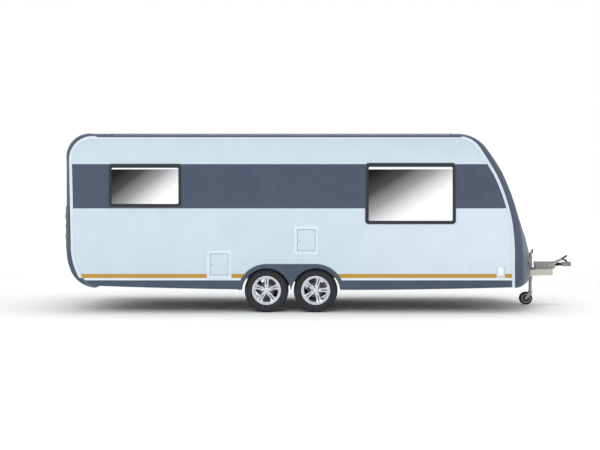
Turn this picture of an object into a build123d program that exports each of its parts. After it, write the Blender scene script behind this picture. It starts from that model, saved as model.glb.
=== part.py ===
"""Twin-axle travel caravan, built panel by panel.

Frame: millimetres, +X forward to the coupling, +Y to the left, +Z up. The origin lies on the
ground under the middle of the overall length and width. side is -1 for right and +1 for left.
"""
import os
from math import atan2, cos, hypot, sin, sqrt

from build123d import *

os.makedirs("parts", exist_ok=True)

# Body shell
half_width = 1150
corner_width = 80
wall = 30
front_x = 2661
rear_x = -3730
eave_z = 2535
sill_z = 360
skirt_drop = 30
skirt_top_z = 467
crown_z = 15
eave_rise = 38
proud = 6
rail_width = 40
front_roof_seam = 900
heel_clear = 5
rear_roof_seam = 600

# The side view of the front and rear mouldings, from the roof seam down. Each row holds the
# setback from the end of the side wall, the share of the height from sill to eave, the push
# out past the rounded corner, and the further swell on the centre line (forward, up).
front_profile = [
    (front_roof_seam, 1.000, (0, eave_rise), (0, crown_z)),
    (808, 1.000, (0, eave_rise), (0, crown_z)),
    (633, 0.980, (22, 42), (20, 12)),
    (498, 0.924, (62, 42), (45, 6)),
    (374, 0.8355, (74, 46), (70, 0)),
    (258, 0.745, (78, 44), (88, 0)),
    (121, 0.5876, (86, 28), (120, 0)),
    (33, 0.4234, (94, 16), (190, 0)),
    (5, 0.290, (99, 4), (290, 0)),
    (2, 0.1563, (100, 0), (350, 0)),
    (0, 0.085, (100, 10), (362, 35)),
    (0, 0.0138, (97, 30), (350, 80)),
    (1, 0.0041, (85, 20), (320, 21)),
    (3, 0.0, (45, 0), (270, 0)),
]
rear_profile = [
    (rear_roof_seam, 1.000, (0, eave_rise), (0, crown_z)),
    (337, 1.000, (0, eave_rise), (0, crown_z)),
    (96, 0.954, (75, 22), (8, 8)),
    (0, 0.8414, (52, 0), (10, 0)),
    (25, 0.2943, (77, 0), (10, 0)),
    (47, 0.1839, (88, -6), (10, 0)),
    (102, 0.1057, (85, -12), (8, 0)),
    (189, 0.0423, (45, -20), (5, 0)),
    (374, 0.0, (0, 0), (0, 0)),
]
# L runs straight to the next point, A is an arc over the next two
front_turns = "LAAAAAA"
rear_turns = "LALAA"

# Running gear
wheel_x = {"front": -194, "rear": -903}
tyre_radius = 317
tyre_width = 195
wheel_y = half_width - 150
bead_radius = 191
flange_radius = 208
flange_width = 8
barrel_inner = 166
spoke_out = 34
spoke_depth = 24
hub_radius = 62
drum_radius = 120
drum_depth = 85
drum_out = 20
spindle_radius = 28
running_gap = 5
pin_gap = 0.3

# Wheel arches
arch_z = 290
arch_radius = 356
spat_radius = 411
box_radius = 400
box_wall = 12
box_depth = 325
web_cut = 82

# Floor and chassis
floor_top = 590
floor_depth = 35
rail_y = half_width - 530
rail_thick = 50
rail_depth = 90
rail_rear_x = rear_x + 430
rail_front_x = front_x - 581
axle_lead = 170
axle_rise = 73
axle_radius = 45
arm_y = wheel_y - 130
arm_thick = 25
arm_root = 48
arm_tip = 36
cross_thick = 50
cross_x = [
    rail_rear_x + cross_thick / 2,
    wheel_x["rear"] - 997,
    wheel_x["front"] + 1094,
    rail_front_x - cross_thick / 2,
]

# Drawbar and coupling
nose_slot_half = 292
drawbar_end_x = front_x + 839
drawbar_end_y = 62
coupling_tip_x = front_x + 1149
coupling_z = 630
ball_radius = 25

# Jockey wheel
jockey_x = front_x + 511
jockey_radius = 100
jockey_width = 56
jockey_trail = 72
jockey_tube_radius = 30
jockey_leg_radius = 24
jockey_tube_low = 392
jockey_tube_high = 790
jockey_lift = 170

# Openings in the side walls: side, rear edge, front edge, bottom, top
pane_inset = 40
window_corner = 45
frame_proud = 14
windows = [
    (-1, rear_x + 567, rear_x + 1612, 1519, 2124),
    (-1, front_x - 2142, front_x - 850, 1277, 2137),
    (1, rear_x + 567, rear_x + 1612, 1519, 2124),
    (1, front_x - 1531, front_x - 661, 1277, 2137),
]
frame_lap = 15
glass = 6

# Service doors in the right wall: name, centre x, centre z
hatch_width = 347
hatch_height = 412
leaf_width = 255
leaf_height = 300
hatch_doors = [("rear", -1580, 695), ("mid", -330, 1042)]
locker_depth = 300
liner_wall = 8
leaf_gap = 5
sleeve = 12
hatch_proud = 8

# Supply inlet in the right wall
inlet_x = front_x - 204
inlet_z = 592
inlet_width = 117
inlet_height = 177
flap_width = 93
flap_height = 130

# Entrance door in the left wall
door_rear_x = 330
door_front_x = 950
door_bottom = 484
door_top = 2235
door_corner = 70

# Locker lid and window in the nose
lid_low = 700
lid_high = 1330
lid_half = half_width - 350
lid_corner = 80
nose_window_low = 1560
nose_window_high = 2080
nose_window_half = half_width - 510
bulkhead_x = front_x - 91
shelf_z = 1345

# Rear lamps and plate
lamp_y = half_width - 138
lamp_width = 108
lamp_low = 919
lamp_high = 1530
lamp_round_z = [1096, 1240, 1383]
lamp_round_radius = 46
plate_width = 520
plate_height = 112
plate_z = 800

# Rooflight
rooflight_x = rear_x + 1230
rooflight_size = 520
rooflight_height = 40

# Corner steadies: name, pivot x, direction of the stowed leg
steadies = [("rear", rail_rear_x + 100, 1), ("front", rail_front_x - 100, -1)]
steady_length = 520
steady_z = 436


def half_points(table, end_x, way, y):
    """Outer points of a moulding's side view at the distance y from the centre line."""
    share = abs(y) / half_width
    over = max(0, abs(y) - (half_width - corner_width)) / corner_width
    corner = sqrt(max(0, 1 - over * over))
    swell = 1 - share * share
    points = []
    for setback, rise, push, bulge in table:
        x = end_x + way * (corner * push[0] + swell * bulge[0] - setback)
        z = sill_z + rise * (eave_z - sill_z) + corner * push[1] + swell * bulge[1]
        points.append((x, z))
    return points


def inset(points, way, depth):
    """The same points moved inwards by depth, square to the outline."""
    moved = []
    for i, point in enumerate(points):
        before = points[max(i - 1, 0)]
        after = points[min(i + 1, len(points) - 1)]
        run = after[0] - before[0]
        drop = after[1] - before[1]
        length = hypot(run, drop)
        moved.append((point[0] + way * depth * drop / length, point[1] - way * depth * run / length))
    return moved


def trace(points, turns):
    """Draw the lines and arcs of an outline, from its first point to its last."""
    at = 0
    for turn in turns:
        if turn == "L":
            Line(points[at], points[at + 1])
            at += 1
        else:
            ThreePointArc(points[at], points[at + 1], points[at + 2])
            at += 2


def ring(table, turns, end_x, way, y, depth):
    """Closed outline of a moulding's wall at the distance y from the centre line."""
    outer = half_points(table, end_x, way, y)
    inner = inset(outer, way, depth)
    trace(outer, turns)
    Line(outer[-1], inner[-1])
    trace(inner, turns)
    Line(inner[0], outer[0])


flat_edge = half_width - corner_width
middle_stations = [-flat_edge, -0.56 * flat_edge, 0, 0.56 * flat_edge, flat_edge]
corner_stations = [flat_edge + corner_width * share for share in (0, 0.5, 0.85, 1)]


def moulding(table, turns, end_x, way, depth):
    """A front or rear moulding: a middle loft with a rounded corner loft at each side."""
    with BuildPart() as shell:
        for stations in (middle_stations, corner_stations, [-y for y in corner_stations]):
            for y in stations:
                with BuildSketch(Plane.XZ.offset(-y)):
                    with BuildLine():
                        ring(table, turns, end_x, way, y, depth)
                    make_face()
            loft()
    return shell.part


def layer(side, inner, outer):
    """Plane of a layer of the side, from which a sketch is extruded by outer - inner."""
    return Plane.XZ.offset(-outer if side > 0 else inner)


def side_outline(depth):
    """Side wall and skirt together, depth inside the edge of the mouldings."""
    front = inset(half_points(front_profile, front_x, 1, half_width), 1, depth)
    rear = inset(half_points(rear_profile, rear_x, -1, half_width), -1, depth)
    rear[-1] = (rear[-1][0] + heel_clear, rear[-1][1] + heel_clear / 3)
    trace(front, front_turns)
    trace(rear, rear_turns)
    Line(front[0], rear[0])
    ThreePointArc(front[-1], ((front_x + rear_x) / 2, sill_z - skirt_drop), rear[-1])


def rounded(centre_x, centre_z, width, height, corner):
    """A rounded rectangle in the running sketch."""
    with Locations((centre_x, centre_z)):
        RectangleRounded(width, height, corner)


def arch_band(radius):
    """Both wheel circles of a radius with the straight top between them."""
    for x in wheel_x.values():
        with Locations((x, arch_z)):
            Circle(radius)
    middle = (wheel_x["front"] + wheel_x["rear"]) / 2
    spread = wheel_x["front"] - wheel_x["rear"]
    with Locations((middle, arch_z + radius / 2)):
        Rectangle(spread, radius)


def save(part, label):
    """Label a finished piece and write it."""
    part.label = label
    export_step(part, f"parts/{label}.step")


side_names = {-1: "right", 1: "left"}
floor_low = floor_top - floor_depth
rail_low = floor_low - rail_depth
wall_inner = half_width - wall
leaf_inner = half_width + hatch_proud - wall

# Front moulding with the drawbar slot, the locker mouth and the window mouth
front_shell = moulding(front_profile, front_turns, front_x, 1, wall)
lid_height = lid_high - lid_low
lid_mid = (lid_high + lid_low) / 2
nose_window_mid = (nose_window_high + nose_window_low) / 2
nose_window_height = nose_window_high - nose_window_low
nose_plane = Plane.YZ.offset(bulkhead_x)
nose_reach = 900
lid_crown = half_points(front_profile, front_x, 1, 0)
lid_slope_low = lid_crown[8]
lid_slope_high = lid_crown[7]
lid_share = (lid_high - lid_slope_low[1]) / (lid_slope_high[1] - lid_slope_low[1])
lid_edge_x = lid_slope_low[0] + lid_share * (lid_slope_high[0] - lid_slope_low[0])
hinge_radius = 8
hinge_x = lid_edge_x + hinge_radius + 4
hinge_z = lid_high + leaf_gap / 2
strap_y = [-150, 150]
strap_width = 60
strap_length = 90
lug_width = 12
lug_height = 70
with BuildPart() as front_panel:
    add(front_shell)
    with BuildSketch(nose_plane):
        with Locations((0, floor_low / 2)):
            Rectangle(2 * nose_slot_half, floor_low)
        rounded(0, lid_mid, 2 * (lid_half + leaf_gap), lid_height + 2 * leaf_gap, lid_corner)
    extrude(amount=nose_reach, mode=Mode.SUBTRACT)
    with BuildSketch(Plane.YZ.offset(front_x - front_roof_seam)):
        rounded(0, nose_window_mid, 2 * nose_window_half, nose_window_height, lid_corner)
    extrude(amount=2 * nose_reach, mode=Mode.SUBTRACT)
    for y in strap_y:
        for lug_y in (y - strap_width / 2 - pin_gap - lug_width, y + strap_width / 2 + pin_gap):
            with BuildSketch(Plane.XZ.offset(-lug_y)):
                with Locations((hinge_x, hinge_z)):
                    Circle(hinge_radius)
                with BuildLine():
                    Polyline(
                        (hinge_x + hinge_radius, hinge_z),
                        (hinge_x - lug_height / 2, hinge_z + lug_height),
                        (hinge_x - lug_height * 0.85, hinge_z + lug_height),
                        (hinge_x - hinge_radius, hinge_z),
                        close=True,
                    )
                make_face()
            extrude(amount=-lug_width)
save(front_panel.part, "front_panel")

# Locker lid cut from the same moulding, with two hinge straps along its top edge
with BuildPart() as front_locker_lid:
    with BuildSketch(nose_plane):
        rounded(0, lid_mid, 2 * lid_half, lid_height, lid_corner)
    extrude(amount=nose_reach)
    add(front_shell, mode=Mode.INTERSECT)
    for y in strap_y:
        with BuildSketch(Plane.XZ.offset(-y - strap_width / 2)):
            with Locations((hinge_x, hinge_z)):
                Circle(hinge_radius)
            with BuildLine():
                Polyline(
                    (hinge_x - hinge_radius, hinge_z),
                    (hinge_x + hinge_radius, hinge_z),
                    (hinge_x + hinge_radius + 30, hinge_z - strap_length),
                    (hinge_x + 10, hinge_z - strap_length),
                    close=True,
                )
            make_face()
        extrude(amount=strap_width)
save(front_locker_lid.part, "front_locker_lid")

# Rear moulding
rear_shell = moulding(rear_profile, rear_turns, rear_x, -1, wall)
with BuildPart() as rear_panel:
    add(rear_shell)
save(rear_panel.part, "rear_panel")

# Roof panel with a low crown and the same rounded edge as the mouldings
roof_front_x = front_x - front_roof_seam
roof_rear_x = rear_x + rear_roof_seam
roof_length = roof_front_x - roof_rear_x
seam_swell = crown_z * (1 - (flat_edge / half_width) ** 2)
crown_top = eave_z + eave_rise + crown_z
turn_y = flat_edge + corner_width * sqrt(0.5)
turn_z = eave_z + eave_rise * sqrt(0.5)
rooflight_hole = rooflight_size - 2 * pane_inset


def roof_line(drop, sign=1):
    """Half of the roof's cross-section, drop below its top."""
    ThreePointArc((sign * flat_edge, eave_z + eave_rise + seam_swell - drop),
                  (sign * turn_y, turn_z + seam_swell / 2 - drop),
                  (sign * half_width, eave_z - drop))


with BuildPart() as roof_panel:
    with BuildSketch(Plane.YZ.offset(roof_rear_x)):
        with BuildLine():
            for drop in (0, wall):
                edge_top = eave_z + eave_rise + seam_swell - drop
                ThreePointArc((-flat_edge, edge_top), (0, crown_top - drop), (flat_edge, edge_top))
                roof_line(drop)
                roof_line(drop, -1)
            for y in (-half_width, half_width):
                Line((y, eave_z), (y, eave_z - wall))
        make_face()
    extrude(amount=roof_length)
    with BuildSketch(Plane.XY.offset(eave_z - wall)):
        rounded(rooflight_x, 0, rooflight_hole, rooflight_hole, window_corner)
    extrude(amount=4 * wall, mode=Mode.SUBTRACT)
save(roof_panel.part, "roof_panel")

# Side walls, skirts with the spats, edge rails and wheel boxes
cut_width = leaf_width + 2 * (leaf_gap + sleeve)
cut_height = leaf_height + 2 * (leaf_gap + sleeve)
inlet_cut_width = flap_width + 2 * (leaf_gap + sleeve / 3)
inlet_cut_height = flap_height + 2 * (leaf_gap + sleeve / 3)
door_mid_x = (door_rear_x + door_front_x) / 2
door_mid_z = (door_bottom + door_top) / 2
door_width = door_front_x - door_rear_x
door_height = door_top - door_bottom
body_length = front_x - rear_x
body_mid_x = (front_x + rear_x) / 2
end_profiles = [(front_profile, front_turns, front_x, 1), (rear_profile, rear_turns, rear_x, -1)]
for side, side_name in side_names.items():
    with BuildPart() as side_wall:
        with BuildSketch(layer(side, wall_inner, half_width)):
            with BuildLine():
                side_outline(wall)
            make_face()
            with Locations((body_mid_x, skirt_top_z - body_length / 2)):
                Rectangle(2 * body_length, body_length, mode=Mode.SUBTRACT)
            with BuildSketch(mode=Mode.SUBTRACT):
                arch_band(spat_radius)
            with BuildSketch(mode=Mode.SUBTRACT):
                for window_side, low_x, high_x, low_z, high_z in windows:
                    if window_side == side:
                        rounded((low_x + high_x) / 2, (low_z + high_z) / 2, high_x - low_x - 2 * frame_lap,
                                high_z - low_z - 2 * frame_lap, window_corner - frame_lap / 2)
                if side < 0:
                    for name, x, z in hatch_doors:
                        rounded(x, z, cut_width, cut_height, 2 * sleeve)
                    rounded(inlet_x, inlet_z, inlet_cut_width, inlet_cut_height, sleeve)
                else:
                    rounded(door_mid_x, door_mid_z, door_width + 2 * leaf_gap,
                            door_height + 2 * leaf_gap, door_corner)
        extrude(amount=wall)
    save(side_wall.part, f"side_wall_{side_name}")

    with BuildPart() as edge_rail:
        for table, turns, end_x, way in end_profiles:
            with BuildSketch(layer(side, half_width, half_width + proud)):
                with BuildLine():
                    ring(table, turns, end_x, way, half_width, rail_width)
                make_face()
            extrude(amount=proud)
        with BuildSketch(layer(side, half_width, half_width + proud)):
            with Locations(((roof_front_x + roof_rear_x) / 2, eave_z - rail_width / 2)):
                Rectangle(roof_length, rail_width)
        extrude(amount=proud)
    save(edge_rail.part, f"edge_rail_{side_name}")

    with BuildPart() as skirt:
        with BuildSketch(layer(side, wall_inner, half_width + proud)):
            with BuildLine():
                side_outline(wall)
            make_face()
            with Locations((body_mid_x, skirt_top_z + body_length / 2)):
                Rectangle(2 * body_length, body_length, mode=Mode.SUBTRACT)
            arch_band(spat_radius)
            with BuildSketch(mode=Mode.SUBTRACT):
                with Locations((body_mid_x, sill_z - skirt_drop - spat_radius)):
                    Rectangle(body_length / 2, 2 * spat_radius)
            with BuildSketch(mode=Mode.SUBTRACT):
                for x in wheel_x.values():
                    with Locations((x, arch_z)):
                        Circle(arch_radius)
                with Locations(((wheel_x["front"] + wheel_x["rear"]) / 2, arch_z)):
                    Rectangle(arch_radius, 2 * web_cut)
        extrude(amount=wall + proud)
        add(edge_rail.part, mode=Mode.SUBTRACT)
    save(skirt.part, f"skirt_{side_name}")

    with BuildPart() as wheel_box:
        with BuildSketch(layer(side, wall_inner - box_depth, wall_inner)):
            arch_band(box_radius)
            with Locations((body_mid_x, sill_z - skirt_drop - box_radius)):
                Rectangle(body_length, 2 * box_radius, mode=Mode.SUBTRACT)
        extrude(amount=box_depth)
        with BuildSketch(layer(side, wall_inner - box_depth + box_wall, wall_inner)):
            arch_band(box_radius - box_wall)
            with Locations(((wheel_x["front"] + wheel_x["rear"]) / 2, arch_z - box_radius / 2)):
                Rectangle(wheel_x["front"] - wheel_x["rear"] + 2 * (box_radius - box_wall), box_radius)
        extrude(amount=box_depth - box_wall, mode=Mode.SUBTRACT)
        with BuildSketch(layer(side, wall_inner - box_depth, wall_inner - box_depth + box_wall)):
            with Locations(((wheel_x["front"] + wheel_x["rear"]) / 2, floor_low - box_radius)):
                Rectangle(4 * box_radius, 2 * box_radius)
        extrude(amount=box_wall, mode=Mode.SUBTRACT)
    save(wheel_box.part, f"wheel_box_{side_name}")

# Floor panel with the wheel box cut-outs and a front edge that follows the nose
box_run = sqrt(box_radius**2 - (floor_low - arch_z) ** 2)
box_inner_y = wall_inner - box_depth
nose_inner = half_points(front_profile, front_x, 1, 0)[9][0] - wall
nose_side = half_points(front_profile, front_x, 1, flat_edge)[9][0] - wall
edge_clear = 12
rear_floor_x = rear_x + 110
rear_floor_reach = 40
with BuildPart() as floor_panel:
    with BuildSketch(Plane.XY.offset(floor_low)):
        with BuildLine():
            Polyline(
                (nose_side - edge_clear, -flat_edge),
                (front_x - wall, -wall_inner),
                (rear_floor_x, -wall_inner),
                (rear_floor_x - rear_floor_reach, -flat_edge),
                (rear_floor_x - rear_floor_reach, flat_edge),
                (rear_floor_x, wall_inner),
                (front_x - wall, wall_inner),
                (nose_side - edge_clear, flat_edge),
            )
            ThreePointArc((nose_side - edge_clear, -flat_edge), (nose_inner - edge_clear, 0),
                          (nose_side - edge_clear, flat_edge))
        make_face()
        with Locations(*[((wheel_x["front"] + wheel_x["rear"]) / 2, s * (box_inner_y + box_depth))
                         for s in side_names]):
            Rectangle(wheel_x["front"] - wheel_x["rear"] + 2 * box_run, 2 * box_depth,
                      mode=Mode.SUBTRACT)
    extrude(amount=floor_depth)
    add(rear_panel.part, mode=Mode.SUBTRACT)
save(floor_panel.part, "floor_panel")

# Bulkhead and shelf that close the nose locker off from the cabin
shelf_inner = half_points(front_profile, front_x, 1, 0)[7][0] - 2 * wall
shelf_side = half_points(front_profile, front_x, 1, flat_edge)[7][0] - 2 * wall
with BuildPart() as front_bulkhead:
    with BuildSketch(Plane.YZ.offset(bulkhead_x)):
        with Locations((0, (floor_top + shelf_z) / 2)):
            Rectangle(2 * wall_inner, shelf_z - floor_top)
    extrude(amount=wall / 2)
    with BuildSketch(Plane.XY.offset(shelf_z)):
        with BuildLine():
            Polyline((shelf_side - wall, -flat_edge), (bulkhead_x, -flat_edge),
                     (bulkhead_x, flat_edge), (shelf_side - wall, flat_edge))
            ThreePointArc((shelf_side - wall, -flat_edge), (shelf_inner - wall, 0),
                          (shelf_side - wall, flat_edge))
        make_face()
    extrude(amount=wall / 2)
save(front_bulkhead.part, "front_bulkhead")

# Window frames and panes
with BuildPart() as window_frames:
    for side, low_x, high_x, low_z, high_z in windows:
        mid_x = (low_x + high_x) / 2
        mid_z = (low_z + high_z) / 2
        width = high_x - low_x
        height = high_z - low_z
        with BuildSketch(layer(side, half_width, half_width + frame_proud)):
            rounded(mid_x, mid_z, width, height, window_corner)
        extrude(amount=frame_proud)
        with BuildSketch(layer(side, wall_inner, half_width)):
            rounded(mid_x, mid_z, width - 2 * frame_lap, height - 2 * frame_lap,
                    window_corner - frame_lap / 2)
        extrude(amount=wall)
        with BuildSketch(layer(side, wall_inner, half_width + frame_proud)):
            rounded(mid_x, mid_z, width - 2 * pane_inset, height - 2 * pane_inset, window_corner / 2)
        extrude(amount=wall + frame_proud, mode=Mode.SUBTRACT)
save(window_frames.part, "window_frames")

pane_out = half_width + frame_proud - glass / 2
nose_pane_shell = moulding(front_profile, front_turns, front_x, 1, glass)
with BuildPart() as window_panes:
    with BuildSketch(Plane.YZ.offset(front_x - front_roof_seam)):
        rounded(0, nose_window_mid, 2 * nose_window_half, nose_window_height, lid_corner)
    extrude(amount=2 * nose_reach)
    add(nose_pane_shell, mode=Mode.INTERSECT)
    for side, low_x, high_x, low_z, high_z in windows:
        with BuildSketch(layer(side, pane_out - glass, pane_out)):
            rounded((low_x + high_x) / 2, (low_z + high_z) / 2, high_x - low_x - 2 * pane_inset,
                    high_z - low_z - 2 * pane_inset, window_corner / 2)
        extrude(amount=glass)
save(window_panes.part, "window_panes")

# Service door frames, the inlet frame with its back box, and the locker liners
inlet_depth = wall
with BuildPart() as hatch_frames:
    for name, x, z in hatch_doors:
        with BuildSketch(layer(-1, half_width, half_width + hatch_proud)):
            rounded(x, z, hatch_width, hatch_height, 2 * sleeve)
        extrude(amount=hatch_proud)
        with BuildSketch(layer(-1, wall_inner, half_width)):
            rounded(x, z, cut_width, cut_height, 2 * sleeve)
        extrude(amount=wall)
        with BuildSketch(layer(-1, wall_inner, half_width + hatch_proud)):
            rounded(x, z, leaf_width + 2 * leaf_gap, leaf_height + 2 * leaf_gap, sleeve)
        extrude(amount=wall + hatch_proud, mode=Mode.SUBTRACT)
    with BuildSketch(layer(-1, half_width, half_width + proud)):
        rounded(inlet_x, inlet_z, inlet_width, inlet_height, sleeve)
    extrude(amount=proud)
    with BuildSketch(layer(-1, half_width - inlet_depth, half_width)):
        rounded(inlet_x, inlet_z, inlet_cut_width, inlet_cut_height, sleeve)
    extrude(amount=inlet_depth)
    with BuildSketch(layer(-1, half_width - inlet_depth + liner_wall, half_width + proud)):
        rounded(inlet_x, inlet_z, flap_width + 2 * leaf_gap, flap_height + 2 * leaf_gap, sleeve / 2)
    extrude(amount=inlet_depth - liner_wall + proud, mode=Mode.SUBTRACT)
save(hatch_frames.part, "hatch_frames")

with BuildPart() as locker_liners:
    for name, x, z in hatch_doors:
        low_z = max(z - cut_height / 2, floor_top)
        high_z = z + cut_height / 2
        with BuildSketch(layer(-1, wall_inner - locker_depth, wall_inner)):
            with Locations((x, (low_z + high_z) / 2)):
                Rectangle(cut_width, high_z - low_z)
        extrude(amount=locker_depth)
        with BuildSketch(layer(-1, wall_inner - locker_depth + liner_wall, wall_inner)):
            with Locations((x, (low_z + high_z) / 2)):
                Rectangle(cut_width - 2 * liner_wall, high_z - low_z - 2 * liner_wall)
        extrude(amount=locker_depth - liner_wall, mode=Mode.SUBTRACT)
save(locker_liners.part, "locker_liners")

# Service doors: a leaf with two knuckles at its front edge
knuckle_radius = 4.5
knuckle_length = 40
for name, x, z in hatch_doors:
    with BuildPart() as service_door:
        with BuildSketch(layer(-1, leaf_inner, half_width + hatch_proud)):
            rounded(x, z, leaf_width, leaf_height, sleeve)
        extrude(amount=wall)
        for offset_z in (-leaf_height / 3, leaf_height / 3):
            with BuildSketch(Plane.XY.offset(z + offset_z - knuckle_length / 2)):
                with Locations((x + leaf_width / 2, -half_width - hatch_proud)):
                    Circle(knuckle_radius)
            extrude(amount=knuckle_length)
    save(service_door.part, f"service_door_{name}")

with BuildPart() as inlet_flap:
    with BuildSketch(layer(-1, half_width, half_width + proud)):
        rounded(inlet_x, inlet_z, flap_width, flap_height, sleeve / 2)
    extrude(amount=proud)
    with BuildSketch(Plane.YZ.offset(inlet_x - flap_width / 4)):
        with Locations((-half_width - proud, inlet_z + flap_height / 2)):
            Circle(knuckle_radius)
    extrude(amount=flap_width / 2)
save(inlet_flap.part, "inlet_flap")

# Entrance door with its window opening, pull recess and knuckles
door_window_width = 380
door_window_height = 560
door_window_z = 1800
door_hinge_x = door_front_x + 3
door_hinge_y = half_width + 7
door_knuckle_z = [800, 1350, 1950]
door_knuckle_radius = 6
door_knuckle_length = 80
handle_x = door_rear_x + 75
handle_z = 1280
handle_width = 90
handle_height = 150
handle_depth = 12
with BuildPart() as entrance_door:
    with BuildSketch(layer(1, wall_inner, half_width)):
        rounded(door_mid_x, door_mid_z, door_width, door_height, door_corner)
        with BuildSketch(mode=Mode.SUBTRACT):
            rounded(door_mid_x, door_window_z, door_window_width, door_window_height, window_corner)
    extrude(amount=wall)
    with BuildSketch(layer(1, half_width - handle_depth, half_width)):
        rounded(handle_x, handle_z, handle_width, handle_height, sleeve)
    extrude(amount=handle_depth, mode=Mode.SUBTRACT)
    for z in door_knuckle_z:
        with BuildSketch(Plane.XY.offset(z - door_knuckle_length / 2)):
            with Locations((door_hinge_x, door_hinge_y)):
                Circle(door_knuckle_radius)
            with Locations((door_hinge_x - door_knuckle_radius, half_width + 2)):
                Rectangle(2 * door_knuckle_radius, 4)
        extrude(amount=door_knuckle_length)
save(entrance_door.part, "entrance_door")

with BuildPart() as door_window:
    with BuildSketch(layer(1, half_width - glass, half_width)):
        rounded(door_mid_x, door_window_z, door_window_width, door_window_height, window_corner)
    extrude(amount=glass)
save(door_window.part, "door_window")

with BuildPart() as door_handle:
    with BuildSketch(layer(1, half_width - handle_depth, half_width)):
        with Locations((handle_x, handle_z)):
            Rectangle(handle_width / 3, handle_height)
    extrude(amount=handle_depth)
save(door_handle.part, "door_handle")

# Rooflight frame on the roof and its hinged lid
rooflight_seat = crown_top - wall
rooflight_mouth = rooflight_hole - 2 * sleeve
with BuildPart() as rooflight_frame:
    with BuildSketch(Plane.XY.offset(rooflight_seat)):
        rounded(rooflight_x, 0, rooflight_size, rooflight_size, window_corner)
        with BuildSketch(mode=Mode.SUBTRACT):
            rounded(rooflight_x, 0, rooflight_mouth, rooflight_mouth, window_corner)
    extrude(amount=wall + rooflight_height / 2)
    add(roof_panel.part, mode=Mode.SUBTRACT)
save(rooflight_frame.part, "rooflight_frame")

rooflight_lid_low = crown_top + rooflight_height / 2 + pin_gap
rooflight_knuckle = 5
with BuildPart() as rooflight_lid:
    with BuildSketch(Plane.XY.offset(rooflight_lid_low)):
        rounded(rooflight_x, 0, rooflight_size - sleeve, rooflight_size - sleeve, window_corner)
    extrude(amount=rooflight_height / 2, taper=30)
    for y in (-rooflight_size / 3, rooflight_size / 3):
        with BuildSketch(Plane.XZ.offset(-y - knuckle_length / 2)):
            with Locations((rooflight_x - (rooflight_size - sleeve) / 2,
                            rooflight_lid_low + rooflight_knuckle + pin_gap)):
                Circle(rooflight_knuckle)
        extrude(amount=knuckle_length)
save(rooflight_lid.part, "rooflight_lid")

# Rear lamp housings with their lenses, and the blank plate
lamp_depth = 16
lens_depth = 26
lamp_back_x = half_points(rear_profile, rear_x, -1, flat_edge)[4][0]
lamp_mid_z = (lamp_low + lamp_high) / 2
reflector_z = 985
reflector_height = 100
with BuildPart() as lamp_housings:
    for side in side_names:
        with BuildSketch(Plane.YZ.offset(lamp_back_x - lamp_depth)):
            rounded(side * lamp_y, lamp_mid_z, lamp_width, lamp_high - lamp_low, sleeve)
        extrude(amount=3 * lamp_depth)
        with BuildSketch(Plane.YZ.offset(lamp_back_x - lamp_depth)):
            for z in lamp_round_z:
                with Locations((side * lamp_y, z)):
                    Circle(lamp_round_radius)
            with Locations((side * lamp_y, reflector_z)):
                Rectangle(lamp_width - 2 * sleeve, reflector_height)
        extrude(amount=lamp_depth / 2, mode=Mode.SUBTRACT)
    add(rear_shell, mode=Mode.SUBTRACT)
    split(bisect_by=Plane.YZ.offset(lamp_back_x + wall / 2), keep=Keep.BOTTOM)
save(lamp_housings.part, "lamp_housings")

with BuildPart() as lamp_lenses:
    for side in side_names:
        with BuildSketch(Plane.YZ.offset(lamp_back_x - lens_depth)):
            for z in lamp_round_z:
                with Locations((side * lamp_y, z)):
                    Circle(lamp_round_radius)
        extrude(amount=lens_depth - lamp_depth / 2)
        with BuildSketch(Plane.YZ.offset(lamp_back_x - lamp_depth - 2)):
            with Locations((side * lamp_y, reflector_z)):
                Rectangle(lamp_width - 2 * sleeve, reflector_height)
        extrude(amount=lamp_depth / 2 + 2)
save(lamp_lenses.part, "lamp_lenses")

plate_back_x = lamp_back_x
with BuildPart() as number_plate:
    with BuildSketch(Plane.YZ.offset(plate_back_x - 20)):
        rounded(0, plate_z, plate_width, plate_height, sleeve)
    extrude(amount=wall)
    add(rear_shell, mode=Mode.SUBTRACT)
    split(bisect_by=Plane.YZ.offset(plate_back_x), keep=Keep.BOTTOM)
save(number_plate.part, "number_plate")

# Chassis rails with the steady brackets
bracket_gap = 40
cheek = 6
for side, side_name in side_names.items():
    with BuildPart() as chassis_rail:
        with BuildSketch(Plane.XY.offset(rail_low)):
            with Locations(((rail_rear_x + rail_front_x) / 2, side * rail_y)):
                Rectangle(rail_front_x - rail_rear_x, rail_thick)
        extrude(amount=rail_depth)
        for name, x, way in steadies:
            for offset_y in (-(bracket_gap + cheek) / 2, (bracket_gap + cheek) / 2):
                with BuildSketch(Plane.XZ.offset(-(side * rail_y + offset_y) - cheek / 2)):
                    with Locations((x, (rail_low + steady_z - 20) / 2)):
                        Rectangle(80, rail_low - steady_z + 20)
                extrude(amount=cheek)
            with BuildSketch(Plane.XZ.offset(-side * rail_y - (bracket_gap + cheek) / 2)):
                with Locations((x, steady_z)):
                    Circle(6)
            extrude(amount=bracket_gap + cheek)
    save(chassis_rail.part, f"chassis_rail_{side_name}")

with BuildPart() as cross_members:
    for x in cross_x:
        with BuildSketch(Plane.XY.offset(rail_low)):
            with Locations((x, 0)):
                Rectangle(cross_thick, 2 * rail_y - rail_thick)
        extrude(amount=rail_depth)
save(cross_members.part, "cross_members")

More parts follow.
